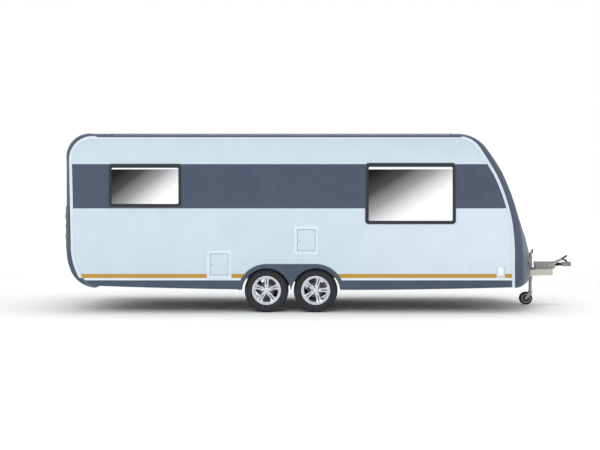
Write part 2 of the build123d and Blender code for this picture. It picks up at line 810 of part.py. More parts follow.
# Steady legs, folded up under the rails
leg_width = 36
for name, x, way in steadies:
    for side, side_name in side_names.items():
        with BuildPart() as steady:
            with BuildSketch(Plane.XZ.offset(-side * rail_y - leg_width / 2)):
                with Locations((x + way * steady_length / 2, steady_z)):
                    Rectangle(steady_length, 24)
                with Locations((x, steady_z)):
                    Circle(14)
                with Locations((x, steady_z)):
                    Circle(6 + pin_gap, mode=Mode.SUBTRACT)
                with Locations((x + way * (steady_length - 10), steady_z - 2)):
                    Rectangle(12, 40)
            extrude(amount=leg_width)
        save(steady.part, f"steady_{name}_{side_name}")

# Torsion axles: tube, seats under the rails, trailing arms, back plates and spindles
for name, x in wheel_x.items():
    with BuildPart() as axle:
        tube_x = x + axle_lead
        tube_z = tyre_radius + axle_rise
        lean = atan2(axle_rise, axle_lead)
        up = (-sin(lean), cos(lean))
        with BuildSketch(Plane.XZ.offset(-arm_y)):
            with Locations((tube_x, tube_z)):
                RegularPolygon(axle_radius, 6)
        extrude(amount=2 * arm_y)
        for side in side_names:
            with BuildSketch(Plane.XY.offset(tube_z)):
                with Locations((tube_x, side * rail_y)):
                    Rectangle(2 * axle_radius, rail_thick + 20)
            extrude(amount=rail_low - tube_z)
            with BuildSketch(layer(side, arm_y, arm_y + arm_thick)):
                with BuildLine():
                    Polyline(
                        (tube_x + arm_root * up[0], tube_z + arm_root * up[1]),
                        (x + arm_tip * up[0], tyre_radius + arm_tip * up[1]),
                        (x - arm_tip * up[0], tyre_radius - arm_tip * up[1]),
                        (tube_x - arm_root * up[0], tube_z - arm_root * up[1]),
                        close=True,
                    )
                make_face()
                with Locations((tube_x, tube_z)):
                    Circle(arm_root)
                with Locations((x, tyre_radius)):
                    Circle(arm_tip)
            extrude(amount=arm_thick)
            plate_y = wheel_y - drum_depth + drum_out - running_gap
            with BuildSketch(layer(side, arm_y + arm_thick, plate_y - 8)):
                with Locations((x, tyre_radius)):
                    Circle(45)
            extrude(amount=plate_y - 8 - arm_y - arm_thick)
            with BuildSketch(layer(side, plate_y - 8, plate_y)):
                with Locations((x, tyre_radius)):
                    Circle(drum_radius)
            extrude(amount=8)
            with BuildSketch(layer(side, plate_y, wheel_y)):
                with Locations((x, tyre_radius)):
                    Circle(spindle_radius)
            extrude(amount=wheel_y - plate_y)
    save(axle.part, f"axle_{name}")

# Wheels: the tyre, and the cast wheel with its brake drum behind
spoke_count = 5
spoke_start = {"front": 0, "rear": 90}
half_tyre = tyre_width / 2
bead_half = 84
for name, x in wheel_x.items():
    for side, side_name in side_names.items():
        centre = Plane(origin=(x, side * wheel_y, tyre_radius), x_dir=(1, 0, 0), z_dir=(0, side, 0))
        section = Plane(origin=(x, side * wheel_y, tyre_radius), x_dir=(0, side, 0), z_dir=(-side, 0, 0))
        spin_axis = Axis((x, side * wheel_y, tyre_radius), (0, 1, 0))
        with BuildPart() as tyre:
            with BuildSketch(section):
                with BuildLine():
                    shoulder = tyre_radius - 14
                    Line((-bead_half, bead_radius), (bead_half, bead_radius))
                    Line((bead_half, bead_radius), (bead_half, flange_radius + 4))
                    ThreePointArc((bead_half, flange_radius + 4), (half_tyre, flange_radius + 46),
                                  (half_tyre - 14, shoulder))
                    ThreePointArc((half_tyre - 14, shoulder), (half_tyre - 20, tyre_radius - 4),
                                  (half_tyre - 32, tyre_radius))
                    Line((half_tyre - 32, tyre_radius), (32 - half_tyre, tyre_radius))
                    ThreePointArc((32 - half_tyre, tyre_radius), (20 - half_tyre, tyre_radius - 4),
                                  (14 - half_tyre, shoulder))
                    ThreePointArc((14 - half_tyre, shoulder), (-half_tyre, flange_radius + 46),
                                  (-bead_half, flange_radius + 4))
                    Line((-bead_half, flange_radius + 4), (-bead_half, bead_radius))
                make_face()
            revolve(axis=spin_axis)
        save(tyre.part, f"tyre_{name}_{side_name}")

        with BuildPart() as rim:
            with BuildSketch(section):
                with BuildLine():
                    outer_edge = bead_half + flange_width
                    Polyline(
                        (-outer_edge, barrel_inner),
                        (-outer_edge, flange_radius),
                        (-bead_half, flange_radius),
                        (-bead_half, bead_radius),
                        (bead_half, bead_radius),
                        (bead_half, flange_radius),
                        (outer_edge, flange_radius),
                        (outer_edge, barrel_inner + 22),
                        (outer_edge - 20, barrel_inner),
                        close=True,
                    )
                make_face()
            revolve(axis=spin_axis)
            with BuildSketch(centre.offset(drum_out - drum_depth)):
                Circle(drum_radius)
            extrude(amount=drum_depth)
            with BuildSketch(centre.offset(drum_out)):
                Circle(hub_radius)
            extrude(amount=spoke_out + spoke_depth - drum_out)
            with BuildSketch(centre.offset(spoke_out)):
                with PolarLocations(0, spoke_count, start_angle=spoke_start[name]):
                    for tilt in (-1, 1):
                        with BuildLine():
                            Polyline(
                                (hub_radius - 12, tilt * 5),
                                (barrel_inner + 8, tilt * 22),
                                (barrel_inner + 8, tilt * 46),
                                (hub_radius - 12, tilt * 26),
                                close=True,
                            )
                        make_face()
            extrude(amount=spoke_depth)
            with BuildSketch(centre.offset(drum_out - drum_depth)):
                Circle(spindle_radius + pin_gap)
            extrude(amount=drum_depth - drum_out + running_gap, mode=Mode.SUBTRACT)
        save(rim.part, f"rim_{name}_{side_name}")

# Drawbar arms that run from the rails to the coupling
drawbar_run = drawbar_end_x - rail_front_x
drawbar_fall = rail_y - drawbar_end_y
half_cut = rail_thick / 2 * hypot(drawbar_run, drawbar_fall) / drawbar_run
for side, side_name in side_names.items():
    with BuildPart() as drawbar_arm:
        with BuildSketch(Plane.XY.offset(rail_low)):
            with BuildLine():
                Polyline(
                    (rail_front_x, side * (rail_y - half_cut)),
                    (rail_front_x, side * (rail_y + half_cut)),
                    (drawbar_end_x, side * (drawbar_end_y + half_cut)),
                    (drawbar_end_x, side * (drawbar_end_y - half_cut)),
                    close=True,
                )
            make_face()
        extrude(amount=rail_depth)
    save(drawbar_arm.part, f"drawbar_arm_{side_name}")


def arm_y_at(x):
    """Distance of the drawbar arm's centre line from the middle at x."""
    return rail_y - drawbar_fall * (x - rail_front_x) / drawbar_run


# Overrun housing on the drawbar's end, with the cover plate over the arms
overrun_rear_x = drawbar_end_x - 260
overrun_front_x = drawbar_end_x + 45
housing_half = 52
cover_rear_x = jockey_x + 34
beam_length = 36
cover_thick = 12
with BuildPart() as overrun_housing:
    with BuildSketch(Plane.XY.offset(rail_low + rail_depth)):
        with BuildLine():
            cover_rear_y = arm_y_at(cover_rear_x) + half_cut
            cover_front_y = drawbar_end_y + half_cut
            Polyline(
                (cover_rear_x, -cover_rear_y),
                (cover_rear_x, cover_rear_y),
                (drawbar_end_x, cover_front_y),
                (drawbar_end_x, -cover_front_y),
                close=True,
            )
        make_face()
    extrude(amount=cover_thick)
    with BuildSketch(Plane.YZ.offset(overrun_rear_x)):
        with Locations((0, (rail_low + rail_depth + cover_thick + coupling_z + 38) / 2)):
            RectangleRounded(2 * housing_half,
                             coupling_z + 38 - rail_low - rail_depth - cover_thick + 8, 6)
    extrude(amount=overrun_front_x - overrun_rear_x)
    with BuildSketch(Plane.XY.offset(rail_low)):
        with Locations((cover_rear_x + beam_length / 2, 0)):
            Rectangle(beam_length, 2 * (arm_y_at(cover_rear_x + beam_length) - half_cut))
    extrude(amount=rail_depth)
save(overrun_housing.part, "overrun_housing")

# Bellows between the housing and the coupling head
bellows_end_x = overrun_front_x + 120
bellows_rings = 6
with BuildPart() as bellows:
    with BuildSketch(Plane.XZ):
        with BuildLine():
            pitch = (bellows_end_x - overrun_front_x) / bellows_rings
            outline = [(overrun_front_x, coupling_z)]
            for i in range(bellows_rings):
                large = 36 - 14 * i / bellows_rings
                start = overrun_front_x + i * pitch
                outline.append((start, coupling_z + large - 9))
                outline.append((start + pitch / 2, coupling_z + large))
            outline.append((bellows_end_x, coupling_z + 18))
            outline.append((bellows_end_x, coupling_z))
            Polyline(*outline, close=True)
        make_face()
    revolve(axis=Axis((0, 0, coupling_z), (1, 0, 0)))
save(bellows.part, "bellows")

# Coupling head with the ball socket open underneath
ball_x = coupling_tip_x - 38
head_drop = 30
head_rise = 32
socket_gap = 0.5
neck_radius = 18
with BuildPart() as coupling_head:
    with BuildSketch(Plane.XY.offset(coupling_z - head_drop)):
        with BuildLine():
            Polyline((ball_x, 38), (bellows_end_x, 24), (bellows_end_x, -24), (ball_x, -38))
            ThreePointArc((ball_x, -38), (coupling_tip_x, 0), (ball_x, 38))
        make_face()
    extrude(amount=head_drop + head_rise, taper=6)
    with BuildSketch(Plane.YZ.offset(bellows_end_x)):
        with Locations((0, coupling_z)):
            Circle(neck_radius)
    extrude(amount=ball_x - 2 * ball_radius - bellows_end_x)
    with BuildSketch(Plane.XY.offset(coupling_z - head_drop)):
        with Locations((ball_x, 0)):
            Circle(ball_radius + socket_gap)
    extrude(amount=head_drop - 2, mode=Mode.SUBTRACT)
    with Locations((ball_x, 0, coupling_z - 2)):
        Sphere(ball_radius + socket_gap, mode=Mode.SUBTRACT)
save(coupling_head.part, "coupling_head")

# Coupling handle, arched over the head
with BuildPart() as coupling_handle:
    with BuildSketch(Plane.XZ.offset(-16)):
        with BuildLine():
            tip_upper = (bellows_end_x - 75, coupling_z + 58)
            tip_lower = (bellows_end_x - 69, coupling_z + 42)
            elbow_upper = (bellows_end_x + 80, coupling_z + 56)
            elbow_lower = (bellows_end_x + 57, coupling_z + 48)
            foot_front = (elbow_upper[0], coupling_z + head_rise)
            foot_rear = (elbow_lower[0], coupling_z + head_rise)
            ThreePointArc(tip_upper, (bellows_end_x + 15, coupling_z + 82), elbow_upper)
            Polyline(elbow_upper, foot_front, foot_rear, elbow_lower)
            ThreePointArc(elbow_lower, (bellows_end_x + 9, coupling_z + 60), tip_lower)
            Line(tip_lower, tip_upper)
        make_face()
    extrude(amount=32)
save(coupling_handle.part, "coupling_handle")

# Handbrake lever with its quadrant on the housing and its pull rod
lever_x = overrun_front_x
lever_y = housing_half
with BuildPart() as handbrake_lever:
    with BuildSketch(Plane.XZ.offset(lever_y)):
        with BuildLine():
            Polyline(
                (lever_x - 125, coupling_z - 30),
                (lever_x - 45, coupling_z - 30),
                (lever_x + 190, coupling_z + 130),
                (lever_x + 177, coupling_z + 148),
                (lever_x - 55, coupling_z + 20),
                (lever_x - 125, coupling_z + 20),
                close=True,
            )
        make_face()
    extrude(amount=14)
    with BuildSketch(Plane.YZ.offset(cover_rear_x)):
        with Locations((-lever_y - 7, coupling_z + 10)):
            Circle(6)
    extrude(amount=lever_x - 115 - cover_rear_x)
save(handbrake_lever.part, "handbrake_lever")

# Jockey wheel: clamped outer tube with its crank, sliding leg, swivelling fork, wheel
clamp_radius = cover_rear_x - jockey_x
clamp_low = rail_low + 15
clamp_height = 60
with BuildPart() as jockey_tube:
    with BuildSketch(Plane.XY.offset(jockey_tube_low)):
        with Locations((jockey_x, 0)):
            Circle(jockey_tube_radius)
            Circle(jockey_leg_radius + pin_gap, mode=Mode.SUBTRACT)
    extrude(amount=jockey_tube_high - jockey_tube_low)
    with BuildSketch(Plane.XY.offset(clamp_low)):
        with Locations((jockey_x, 0)):
            Circle(clamp_radius)
        with Locations(((jockey_x + cover_rear_x) / 2, 0)):
            Rectangle(cover_rear_x - jockey_x, 44)
        with Locations((jockey_x, 0)):
            Circle(jockey_tube_radius - 1, mode=Mode.SUBTRACT)
    extrude(amount=clamp_height)
    with BuildSketch(Plane.XY.offset(jockey_tube_high)):
        with Locations((jockey_x, 0)):
            Circle(jockey_tube_radius)
    extrude(amount=10)
    with BuildSketch(Plane.XY.offset(jockey_tube_high + 10)):
        with Locations((jockey_x, 0)):
            Circle(9)
    extrude(amount=22)
    with BuildSketch(Plane.XY.offset(jockey_tube_high + 20)):
        with Locations((jockey_x, -70)):
            Rectangle(20, 140)
    extrude(amount=10)
save(jockey_tube.part, "jockey_tube")

leg_low = 215
yoke_depth = 20
yoke_length = 40
with BuildPart() as jockey_leg:
    with BuildSketch(Plane.XY.offset(leg_low)):
        with Locations((jockey_x, 0)):
            Circle(jockey_leg_radius)
    extrude(amount=jockey_tube_high - jockey_lift - 10 - leg_low)
save(jockey_leg.part, "jockey_leg")

fork_half = jockey_width / 2 + running_gap
fork_plate = 6
jockey_axle_x = jockey_x - jockey_trail
with BuildPart() as jockey_fork:
    with BuildSketch(Plane.XY.offset(leg_low - yoke_depth)):
        with Locations((jockey_x, 0)):
            Rectangle(yoke_length, 2 * (fork_half + fork_plate))
    extrude(amount=yoke_depth - pin_gap)
    for start in (-fork_half - fork_plate, fork_half):
        with BuildSketch(Plane.XZ.offset(start)):
            with BuildLine():
                Polyline(
                    (jockey_x + yoke_length / 2, leg_low - pin_gap),
                    (jockey_x + yoke_length / 2, leg_low - 2 * yoke_depth),
                    (jockey_axle_x + 10, jockey_radius - 16),
                    (jockey_axle_x - 12, jockey_radius - 8),
                    (jockey_axle_x - 12, jockey_radius + 14),
                    (jockey_x - yoke_length / 2, leg_low - pin_gap),
                    close=True,
                )
            make_face()
        extrude(amount=fork_plate)
    with BuildSketch(Plane.XZ.offset(-fork_half)):
        with Locations((jockey_axle_x, jockey_radius)):
            Circle(8)
    extrude(amount=2 * fork_half)
save(jockey_fork.part, "jockey_fork")

with BuildPart() as jockey_wheel:
    with BuildSketch(Plane.XZ.offset(-jockey_width / 2)):
        with Locations((jockey_axle_x, jockey_radius)):
            Circle(jockey_radius)
            Circle(8 + pin_gap, mode=Mode.SUBTRACT)
    extrude(amount=jockey_width)
    fillet(jockey_wheel.edges().filter_by(GeomType.CIRCLE).sort_by(SortBy.RADIUS)[-2:], 8)
save(jockey_wheel.part, "jockey_wheel")
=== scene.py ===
"""Looks for the twin-axle travel caravan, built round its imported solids.

Metres throughout, in the solids' own frame: +X forward to the coupling, +Y to the left, +Z up.
side is -1 for right and +1 for left, as in the names.
"""
import math

import bmesh
import bpy
import numpy as np
from mathutils.bvhtree import BVHTree
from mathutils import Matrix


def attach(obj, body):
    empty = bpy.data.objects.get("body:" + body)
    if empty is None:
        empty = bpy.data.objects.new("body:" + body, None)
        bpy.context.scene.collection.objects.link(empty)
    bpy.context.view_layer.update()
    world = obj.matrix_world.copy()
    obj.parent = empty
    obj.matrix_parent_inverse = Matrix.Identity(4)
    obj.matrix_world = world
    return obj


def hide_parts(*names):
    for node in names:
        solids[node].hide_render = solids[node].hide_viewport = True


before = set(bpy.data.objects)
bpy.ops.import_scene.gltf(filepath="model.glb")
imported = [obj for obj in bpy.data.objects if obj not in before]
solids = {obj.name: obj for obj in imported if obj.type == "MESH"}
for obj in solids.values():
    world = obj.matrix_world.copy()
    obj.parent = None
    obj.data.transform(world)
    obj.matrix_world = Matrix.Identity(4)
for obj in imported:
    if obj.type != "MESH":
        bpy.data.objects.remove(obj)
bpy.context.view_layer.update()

# Sizes shared with the solids
side_names = {-1: "right", 1: "left"}
half_width = 1.150
roof_front_x = 1.761
roof_rear_x = -3.130
eave_z = 2.535
rail_proud = 0.006
hatch_proud = 0.008
frame_proud = 0.014
band_low, band_high = 1.499, 2.134
gold_low, gold_high = 0.502, 0.559
line_low, line_high = 0.466, 0.494
windows = {
    "right_rear": (-1, -3.163, -2.118, 1.519, 2.124),
    "right_front": (-1, 0.519, 1.811, 1.277, 2.137),
    "left_rear": (1, -3.163, -2.118, 1.519, 2.124),
    "left_front": (1, 1.130, 2.000, 1.277, 2.137),
}
pane_inset = 0.040
hatches = {"rear": (-1.580, 0.695), "mid": (-0.330, 1.042)}
hatch_size = (0.347, 0.412)
leaf_size = (0.255, 0.300)
inlet_centre = (2.457, 0.592)
flap_size = (0.093, 0.130)
door_x = (0.330, 0.950)
door_z = (0.484, 2.235)
wheels = {"front": (-0.194, 0), "rear": (-0.903, 90)}
wheel_y = 1.000
tyre_radius = 0.317


# Colours and shader building


def shade(red, green, blue):
    """Linear colour of a display colour whose parts run from 0 to 255."""
    part = np.array([red, green, blue]) / 255
    linear = np.where(part <= 0.04045, part / 12.92, ((part + 0.055) / 1.055) ** 2.4)
    return (*linear.tolist(), 1.0)


def add(tree, kind, inputs=(), **settings):
    """A shader node with its settings, and a number, colour or socket for each named input."""
    node = tree.nodes.new("ShaderNode" + kind)
    for key, value in settings.items():
        setattr(node, key, value)
    for key, value in dict(inputs).items():
        if isinstance(value, bpy.types.NodeSocket):
            tree.links.new(value, node.inputs[key])
        else:
            node.inputs[key].default_value = value
    return node


def maths(tree, operation, first, second=0.0):
    """One sum on two numbers or sockets."""
    return add(tree, "Math", {0: first, 1: second}, operation=operation).outputs[0]


def product(tree, first, second):
    """The first times the second."""
    return maths(tree, "MULTIPLY", first, second)


def total(tree, first, second):
    """The first plus the second."""
    return maths(tree, "ADD", first, second)


def less(tree, first, second):
    """The first minus the second."""
    return maths(tree, "SUBTRACT", first, second)


def step(tree, value, low, high, start=0.0, end=1.0):
    """A smooth rise from start to end while value runs from low to high."""
    limits = {"Value": value, "From Min": low, "From Max": high, "To Min": start, "To Max": end}
    return add(tree, "MapRange", limits, interpolation_type="SMOOTHSTEP").outputs["Result"]


def between(tree, value, low, high, soft=0.0006):
    """1 where value lies between low and high, with a soft edge."""
    rise = step(tree, value, low - soft, low + soft)
    fall = step(tree, value, high - soft, high + soft)
    return less(tree, rise, fall)


def mix(tree, share, first, second):
    """The first colour where share is 0 and the second where it is 1."""
    return add(tree, "Mix", {0: share, 6: first, 7: second}, data_type="RGBA").outputs[2]


def places(tree):
    """The point on the piece and its X, Y and Z."""
    point = add(tree, "TexCoord").outputs["Object"]
    split = add(tree, "SeparateXYZ", {0: point})
    return point, split.outputs[0], split.outputs[1], split.outputs[2]


def noise(tree, point, size, detail=3.0, rough=0.55):
    """Cloudy noise with features of about that size in metres."""
    settings = {"Vector": point, "Scale": 1 / size, "Detail": detail, "Roughness": rough}
    return add(tree, "TexNoise", settings).outputs["Fac"]


def scaled(tree, point, factor):
    """The point times a number or socket."""
    return add(tree, "VectorMath", {0: point, "Scale": factor}, operation="SCALE").outputs[0]


def stretched(tree, point, along):
    """The point with each axis shrunk by its factor in along."""
    return add(tree, "Mapping", {"Vector": point, "Scale": along}).outputs[0]


def raised(tree, height, depth):
    """The normal of a surface raised by height times depth in metres."""
    return add(tree, "Bump", {"Height": height, "Distance": depth, "Strength": 1.0}).outputs[0]


def effect(name, inputs, outputs, build):
    """A node group. build takes its tree and its inlets and returns a socket for each outlet."""
    tree = bpy.data.node_groups.new(name, "ShaderNodeTree")
    for label, value in inputs.items():
        kind = "NodeSocketColor" if isinstance(value, tuple) else "NodeSocketFloat"
        tree.interface.new_socket(label, in_out="INPUT", socket_type=kind).default_value = value
    for label, kind in outputs.items():
        tree.interface.new_socket(label, in_out="OUTPUT", socket_type="NodeSocket" + kind)
    inlets = tree.nodes.new("NodeGroupInput").outputs
    outlets = tree.nodes.new("NodeGroupOutput").inputs
    for label, socket in build(tree, inlets).items():
        tree.links.new(socket, outlets[label])
    return tree


def use(tree, group, **inputs):
    """That node group in a material, with its inputs, and its outputs by name."""
    named = {key.replace("_", " "): value for key, value in inputs.items()}
    return add(tree, "Group", named, node_tree=group).outputs


def build_peel(tree, inlets):
    """Sprayed or moulded gloss: slow waves in the surface and a slight mottle."""
    point = places(tree)[0]
    fine = noise(tree, scaled(tree, point, inlets["Scale"]), 1.0, 2.0)
    slow = noise(tree, point, 0.9, 1.0)
    height = total(tree, fine, product(tree, slow, 12.0))
    bump = add(tree, "Bump", {"Height": height, "Distance": 0.0002, "Strength": inlets["Wave"]})
    return {"Normal": bump.outputs[0], "Mottle": noise(tree, point, 0.35, 4.0)}


def build_film(tree, inlets):
    """Road film: thick near the ground, thin by the top height, broken by noise and streaks."""
    point, _, _, z = places(tree)
    low = step(tree, z, 0.0, inlets["Top"], 1.0, 0.0)
    cloud = step(tree, noise(tree, point, 0.22, 6.0, 0.65), 0.3, 0.75)
    streak = step(tree, noise(tree, stretched(tree, point, (26.0, 26.0, 1.3)), 1.0, 3.0), 0.42, 0.8)
    broken = total(tree, product(tree, cloud, 0.7), product(tree, streak, 0.3))
    mask = product(tree, product(tree, low, broken), inlets["Amount"])
    return {"Mask": mask}


def build_rain(tree, inlets):
    """Faint dried rain runs: noise drawn out down the surface."""
    point = places(tree)[0]
    runs = noise(tree, stretched(tree, point, (14.0, 14.0, 0.45)), 1.0, 5.0, 0.6)
    spots = noise(tree, point, 0.018, 3.0)
    both = total(tree, product(tree, step(tree, runs, 0.45, 0.8), 0.8),
                 product(tree, step(tree, spots, 0.6, 0.75), 0.2))
    return {"Mask": product(tree, both, inlets["Amount"])}


def build_zinc(tree, inlets):
    """Hot-dip zinc: flat crystals of slightly different greys, with cloudy dull patches."""
    point = places(tree)[0]
    crystal = add(tree, "TexVoronoi", {"Vector": point, "Scale": inlets["Scale"]}).outputs["Color"]
    tone = add(tree, "SeparateXYZ", {0: crystal}).outputs[0]
    dull = noise(tree, point, 0.11, 5.0, 0.6)
    share = total(tree, product(tree, tone, 0.45), product(tree, dull, 0.55))
    colour = mix(tree, share, inlets["Dark"], inlets["Light"])
    return {"Color": colour, "Roughness": step(tree, dull, 0.25, 0.8, 0.34, 0.62),
            "Normal": raised(tree, total(tree, tone, dull), 0.00025)}


def build_grain(tree, inlets):
    """Moulded grain: fine pits over a slow unevenness."""
    point = places(tree)[0]
    pits = noise(tree, scaled(tree, point, inlets["Scale"]), 1.0, 3.0, 0.7)
    bump = add(tree, "Bump", {"Height": pits, "Distance": 0.0004, "Strength": inlets["Depth"]})
    return {"Normal": bump.outputs[0], "Value": noise(tree, point, 0.06, 4.0)}


peel = effect("peel", {"Scale": 160.0, "Wave": 0.25}, {"Normal": "Vector", "Mottle": "Float"}, build_peel)
film = effect("road_film", {"Top": 0.9, "Amount": 0.4}, {"Mask": "Float"}, build_film)
rain = effect("rain_runs", {"Amount": 0.3}, {"Mask": "Float"}, build_rain)
zinc = effect("zinc", {"Scale": 90.0, "Dark": shade(128, 130, 126), "Light": shade(196, 196, 190)},
              {"Color": "Color", "Roughness": "Float", "Normal": "Vector"}, build_zinc)
grain = effect("moulded_grain", {"Scale": 900.0, "Depth": 0.4}, {"Normal": "Vector", "Value": "Float"},
               build_grain)

dust_colour = shade(150, 140, 124)
slate_tone = shade(74, 84, 104)


def dusted(tree, colour, mask, share):
    """The colour with that share of road dust where the mask is 1."""
    return mix(tree, product(tree, mask, share), colour, dust_colour)


def finish(name, recipe, **fixed):
    """A material. recipe returns sockets for the shader's inputs; the fixed inputs are plain numbers."""
    material = bpy.data.materials.new(name)
    material.use_nodes = True
    tree = material.node_tree
    shader = tree.nodes["Principled BSDF"]
    for key, value in fixed.items():
        shader.inputs[key.replace("_", " ").title().replace("Ior", "IOR")].default_value = value
    for key, socket in recipe(tree).items():
        tree.links.new(socket, shader.inputs[key])
    return material


def glossy(tree, colour, rough=0.22, wave=0.25, dirt=0.35, top=0.8, runs=0.25):
    """Gloss paint or gelcoat of a colour, with mottle, rain runs and road film."""
    skin = use(tree, peel, Wave=wave)
    mottled = mix(tree, step(tree, skin["Mottle"], 0.3, 0.7, 0.0, 0.05), colour, shade(120, 125, 130))
    dirty = maths(tree, "MAXIMUM", use(tree, film, Top=top, Amount=dirt)["Mask"],
                  use(tree, rain, Amount=runs)["Mask"])
    return {"Base Color": dusted(tree, mottled, dirty, 0.35),
            "Roughness": total(tree, product(tree, dirty, 0.4), rough),
            "Normal": skin["Normal"]}


def wall_recipe(tree):
    """Side wall paint: pale panel, slate band, gold reflective stripe and white line, by height; the pale
    panel carries painted light, lighter towards the front, and painted shade darkening it towards the roof.
    """
    point, x, _, z = places(tree)
    # Painted light on the pale panel: lighter towards the front, with painted shade darkening it above 1.9
    # m.
    forward = step(tree, x, -1.0, 2.7)
    painted_light_low_tone = mix(tree, forward, shade(198, 216, 224), shade(212, 225, 235))
    pale = mix(tree, step(tree, z, 1.9, 2.5), painted_light_low_tone, shade(193, 211, 221))
    colour = mix(tree, between(tree, z, band_low, band_high), pale, shade(56, 67, 92))
    slanted = less(tree, x, product(tree, less(tree, gold_low, z), -0.9))
    reach = step(tree, slanted, -3.601, -3.600)
    cell = add(tree, "TexVoronoi", {"Vector": point, "Scale": 260.0}, distance="CHEBYCHEV")
    cells = cell.outputs["Distance"]
    gold_tone = mix(tree, step(tree, cells, 0.2, 0.5), shade(200, 152, 6), shade(178, 130, 2))
    gold = product(tree, between(tree, z, gold_low, gold_high), reach)
    colour = mix(tree, gold, colour, gold_tone)
    colour = mix(tree, between(tree, z, line_low, line_high), colour, shade(236, 240, 243))
    return glossy(tree, colour, rough=0.2, wave=0.2, dirt=0.22, top=1.0, runs=0.08)


def slate_recipe(tree):
    """Slate gelcoat of the mouldings and skirts, with painted shade that darkens it towards the bottom."""
    z = places(tree)[3]
    # Painted shade: the slate darkens from 1.2 m down to 0.3 m.
    colour = mix(tree, step(tree, z, 0.3, 1.2), shade(62, 77, 98), shade(72, 83, 103))
    return glossy(tree, colour, rough=0.42, wave=0.35, dirt=0.45)


def roof_recipe(tree):
    """Roof skin: pale sheet between slate edges, dulled by weather."""
    point, _, y, _ = places(tree)
    across = maths(tree, "ABSOLUTE", y)
    colour = mix(tree, step(tree, across, 1.028, 1.030), shade(190, 196, 201), slate_tone)
    cloud = noise(tree, point, 0.4, 5.0)
    colour = mix(tree, step(tree, cloud, 0.4, 0.8, 0.0, 0.22), colour, shade(150, 152, 150))
    return glossy(tree, colour, rough=0.34, wave=0.3, dirt=0.0, runs=0.1)


def rail_recipe(tree):
    """Edge rails: pale at the ends of the body, slate along the roof and under the rear heel."""
    _, x, _, z = places(tree)
    middle = between(tree, x, -3.34, 1.90, 0.02)
    high = step(tree, z, eave_z - 0.020, eave_z - 0.016)
    low = product(tree, step(tree, x, -3.0, -2.9, 1.0, 0.0), step(tree, z, 0.500, 0.504, 1.0, 0.0))
    slate = maths(tree, "MAXIMUM", product(tree, middle, high), low)
    colour = mix(tree, slate, shade(214, 224, 233), slate_tone)
    return glossy(tree, colour, rough=0.3, wave=0.1, dirt=0.35)


def plastic(colour, rough=0.45, scale=900.0, depth=0.4, dirt=0.2, dark=0.82):
    """A recipe for moulded plastic between a colour and its darker shade."""
    def recipe(tree):
        """The shader's inputs for the plastic."""
        skin = use(tree, grain, Scale=scale, Depth=depth)
        darker = tuple(part * dark for part in colour[:3]) + (1.0,)
        tone = mix(tree, step(tree, skin["Value"], 0.3, 0.7), darker, colour)
        dirty = use(tree, film, Top=1.4, Amount=dirt)["Mask"]
        return {"Base Color": dusted(tree, tone, dirty, 0.5),
                "Roughness": step(tree, skin["Value"], 0.2, 0.8, rough - 0.06, rough + 0.08),
                "Normal": skin["Normal"]}
    return recipe


def metal(dark, light, scale=90.0, dirt=0.3):
    """A recipe for zinc coated steel between two greys."""
    def recipe(tree):
        """The shader's inputs for the coated steel."""
        coat = use(tree, zinc, Scale=scale, Dark=dark, Light=light)
        dirty = use(tree, film, Top=0.8, Amount=dirt)["Mask"]
        return {"Base Color": dusted(tree, coat["Color"], dirty, 0.6),
                "Roughness": total(tree, coat["Roughness"], product(tree, dirty, 0.25)),
                "Normal": coat["Normal"]}
    return recipe


def alloy_recipe(tree):
    """Silver lacquered alloy with fine metal flake and a little brake dust."""
    point = places(tree)[0]
    flake = noise(tree, point, 0.0006, 1.0)
    tone = mix(tree, step(tree, flake, 0.3, 0.7), shade(204, 208, 216), shade(240, 244, 250))
    dusty = step(tree, noise(tree, point, 0.03, 5.0, 0.6), 0.45, 0.8, 0.0, 0.22)
    return {"Base Color": mix(tree, dusty, tone, shade(96, 88, 80)),
            "Roughness": total(tree, dusty, 0.26),
            "Normal": raised(tree, flake, 0.00004)}


def rubber_recipe(tree):
    """Tyre rubber: dusty black in cloudy patches, with fine unevenness."""
    point = places(tree)[0]
    cloud = noise(tree, point, 0.05, 6.0, 0.65)
    fine = noise(tree, point, 0.0015, 3.0)
    dusty = step(tree, cloud, 0.35, 0.8, 0.0, 0.35)
    return {"Base Color": mix(tree, dusty, shade(30, 31, 37), shade(70, 69, 68)),
            "Roughness": step(tree, cloud, 0.2, 0.8, 0.6, 0.85),
            "Normal": raised(tree, fine, 0.0003)}


def dark_tint(tree):
    """Cloudy dark tint of acrylic."""
    cloud = noise(tree, places(tree)[0], 0.3, 3.0)
    return mix(tree, cloud, shade(20, 23, 28), shade(34, 38, 46))


def acrylic(tree, colour):
    """Acrylic of a colour with faint smears and slow waves."""
    smear = use(tree, rain, Amount=0.3)["Mask"]
    return {"Base Color": colour,
            "Roughness": total(tree, product(tree, smear, 0.3), 0.06),
            "Normal": use(tree, peel, Wave=0.08)["Normal"]}


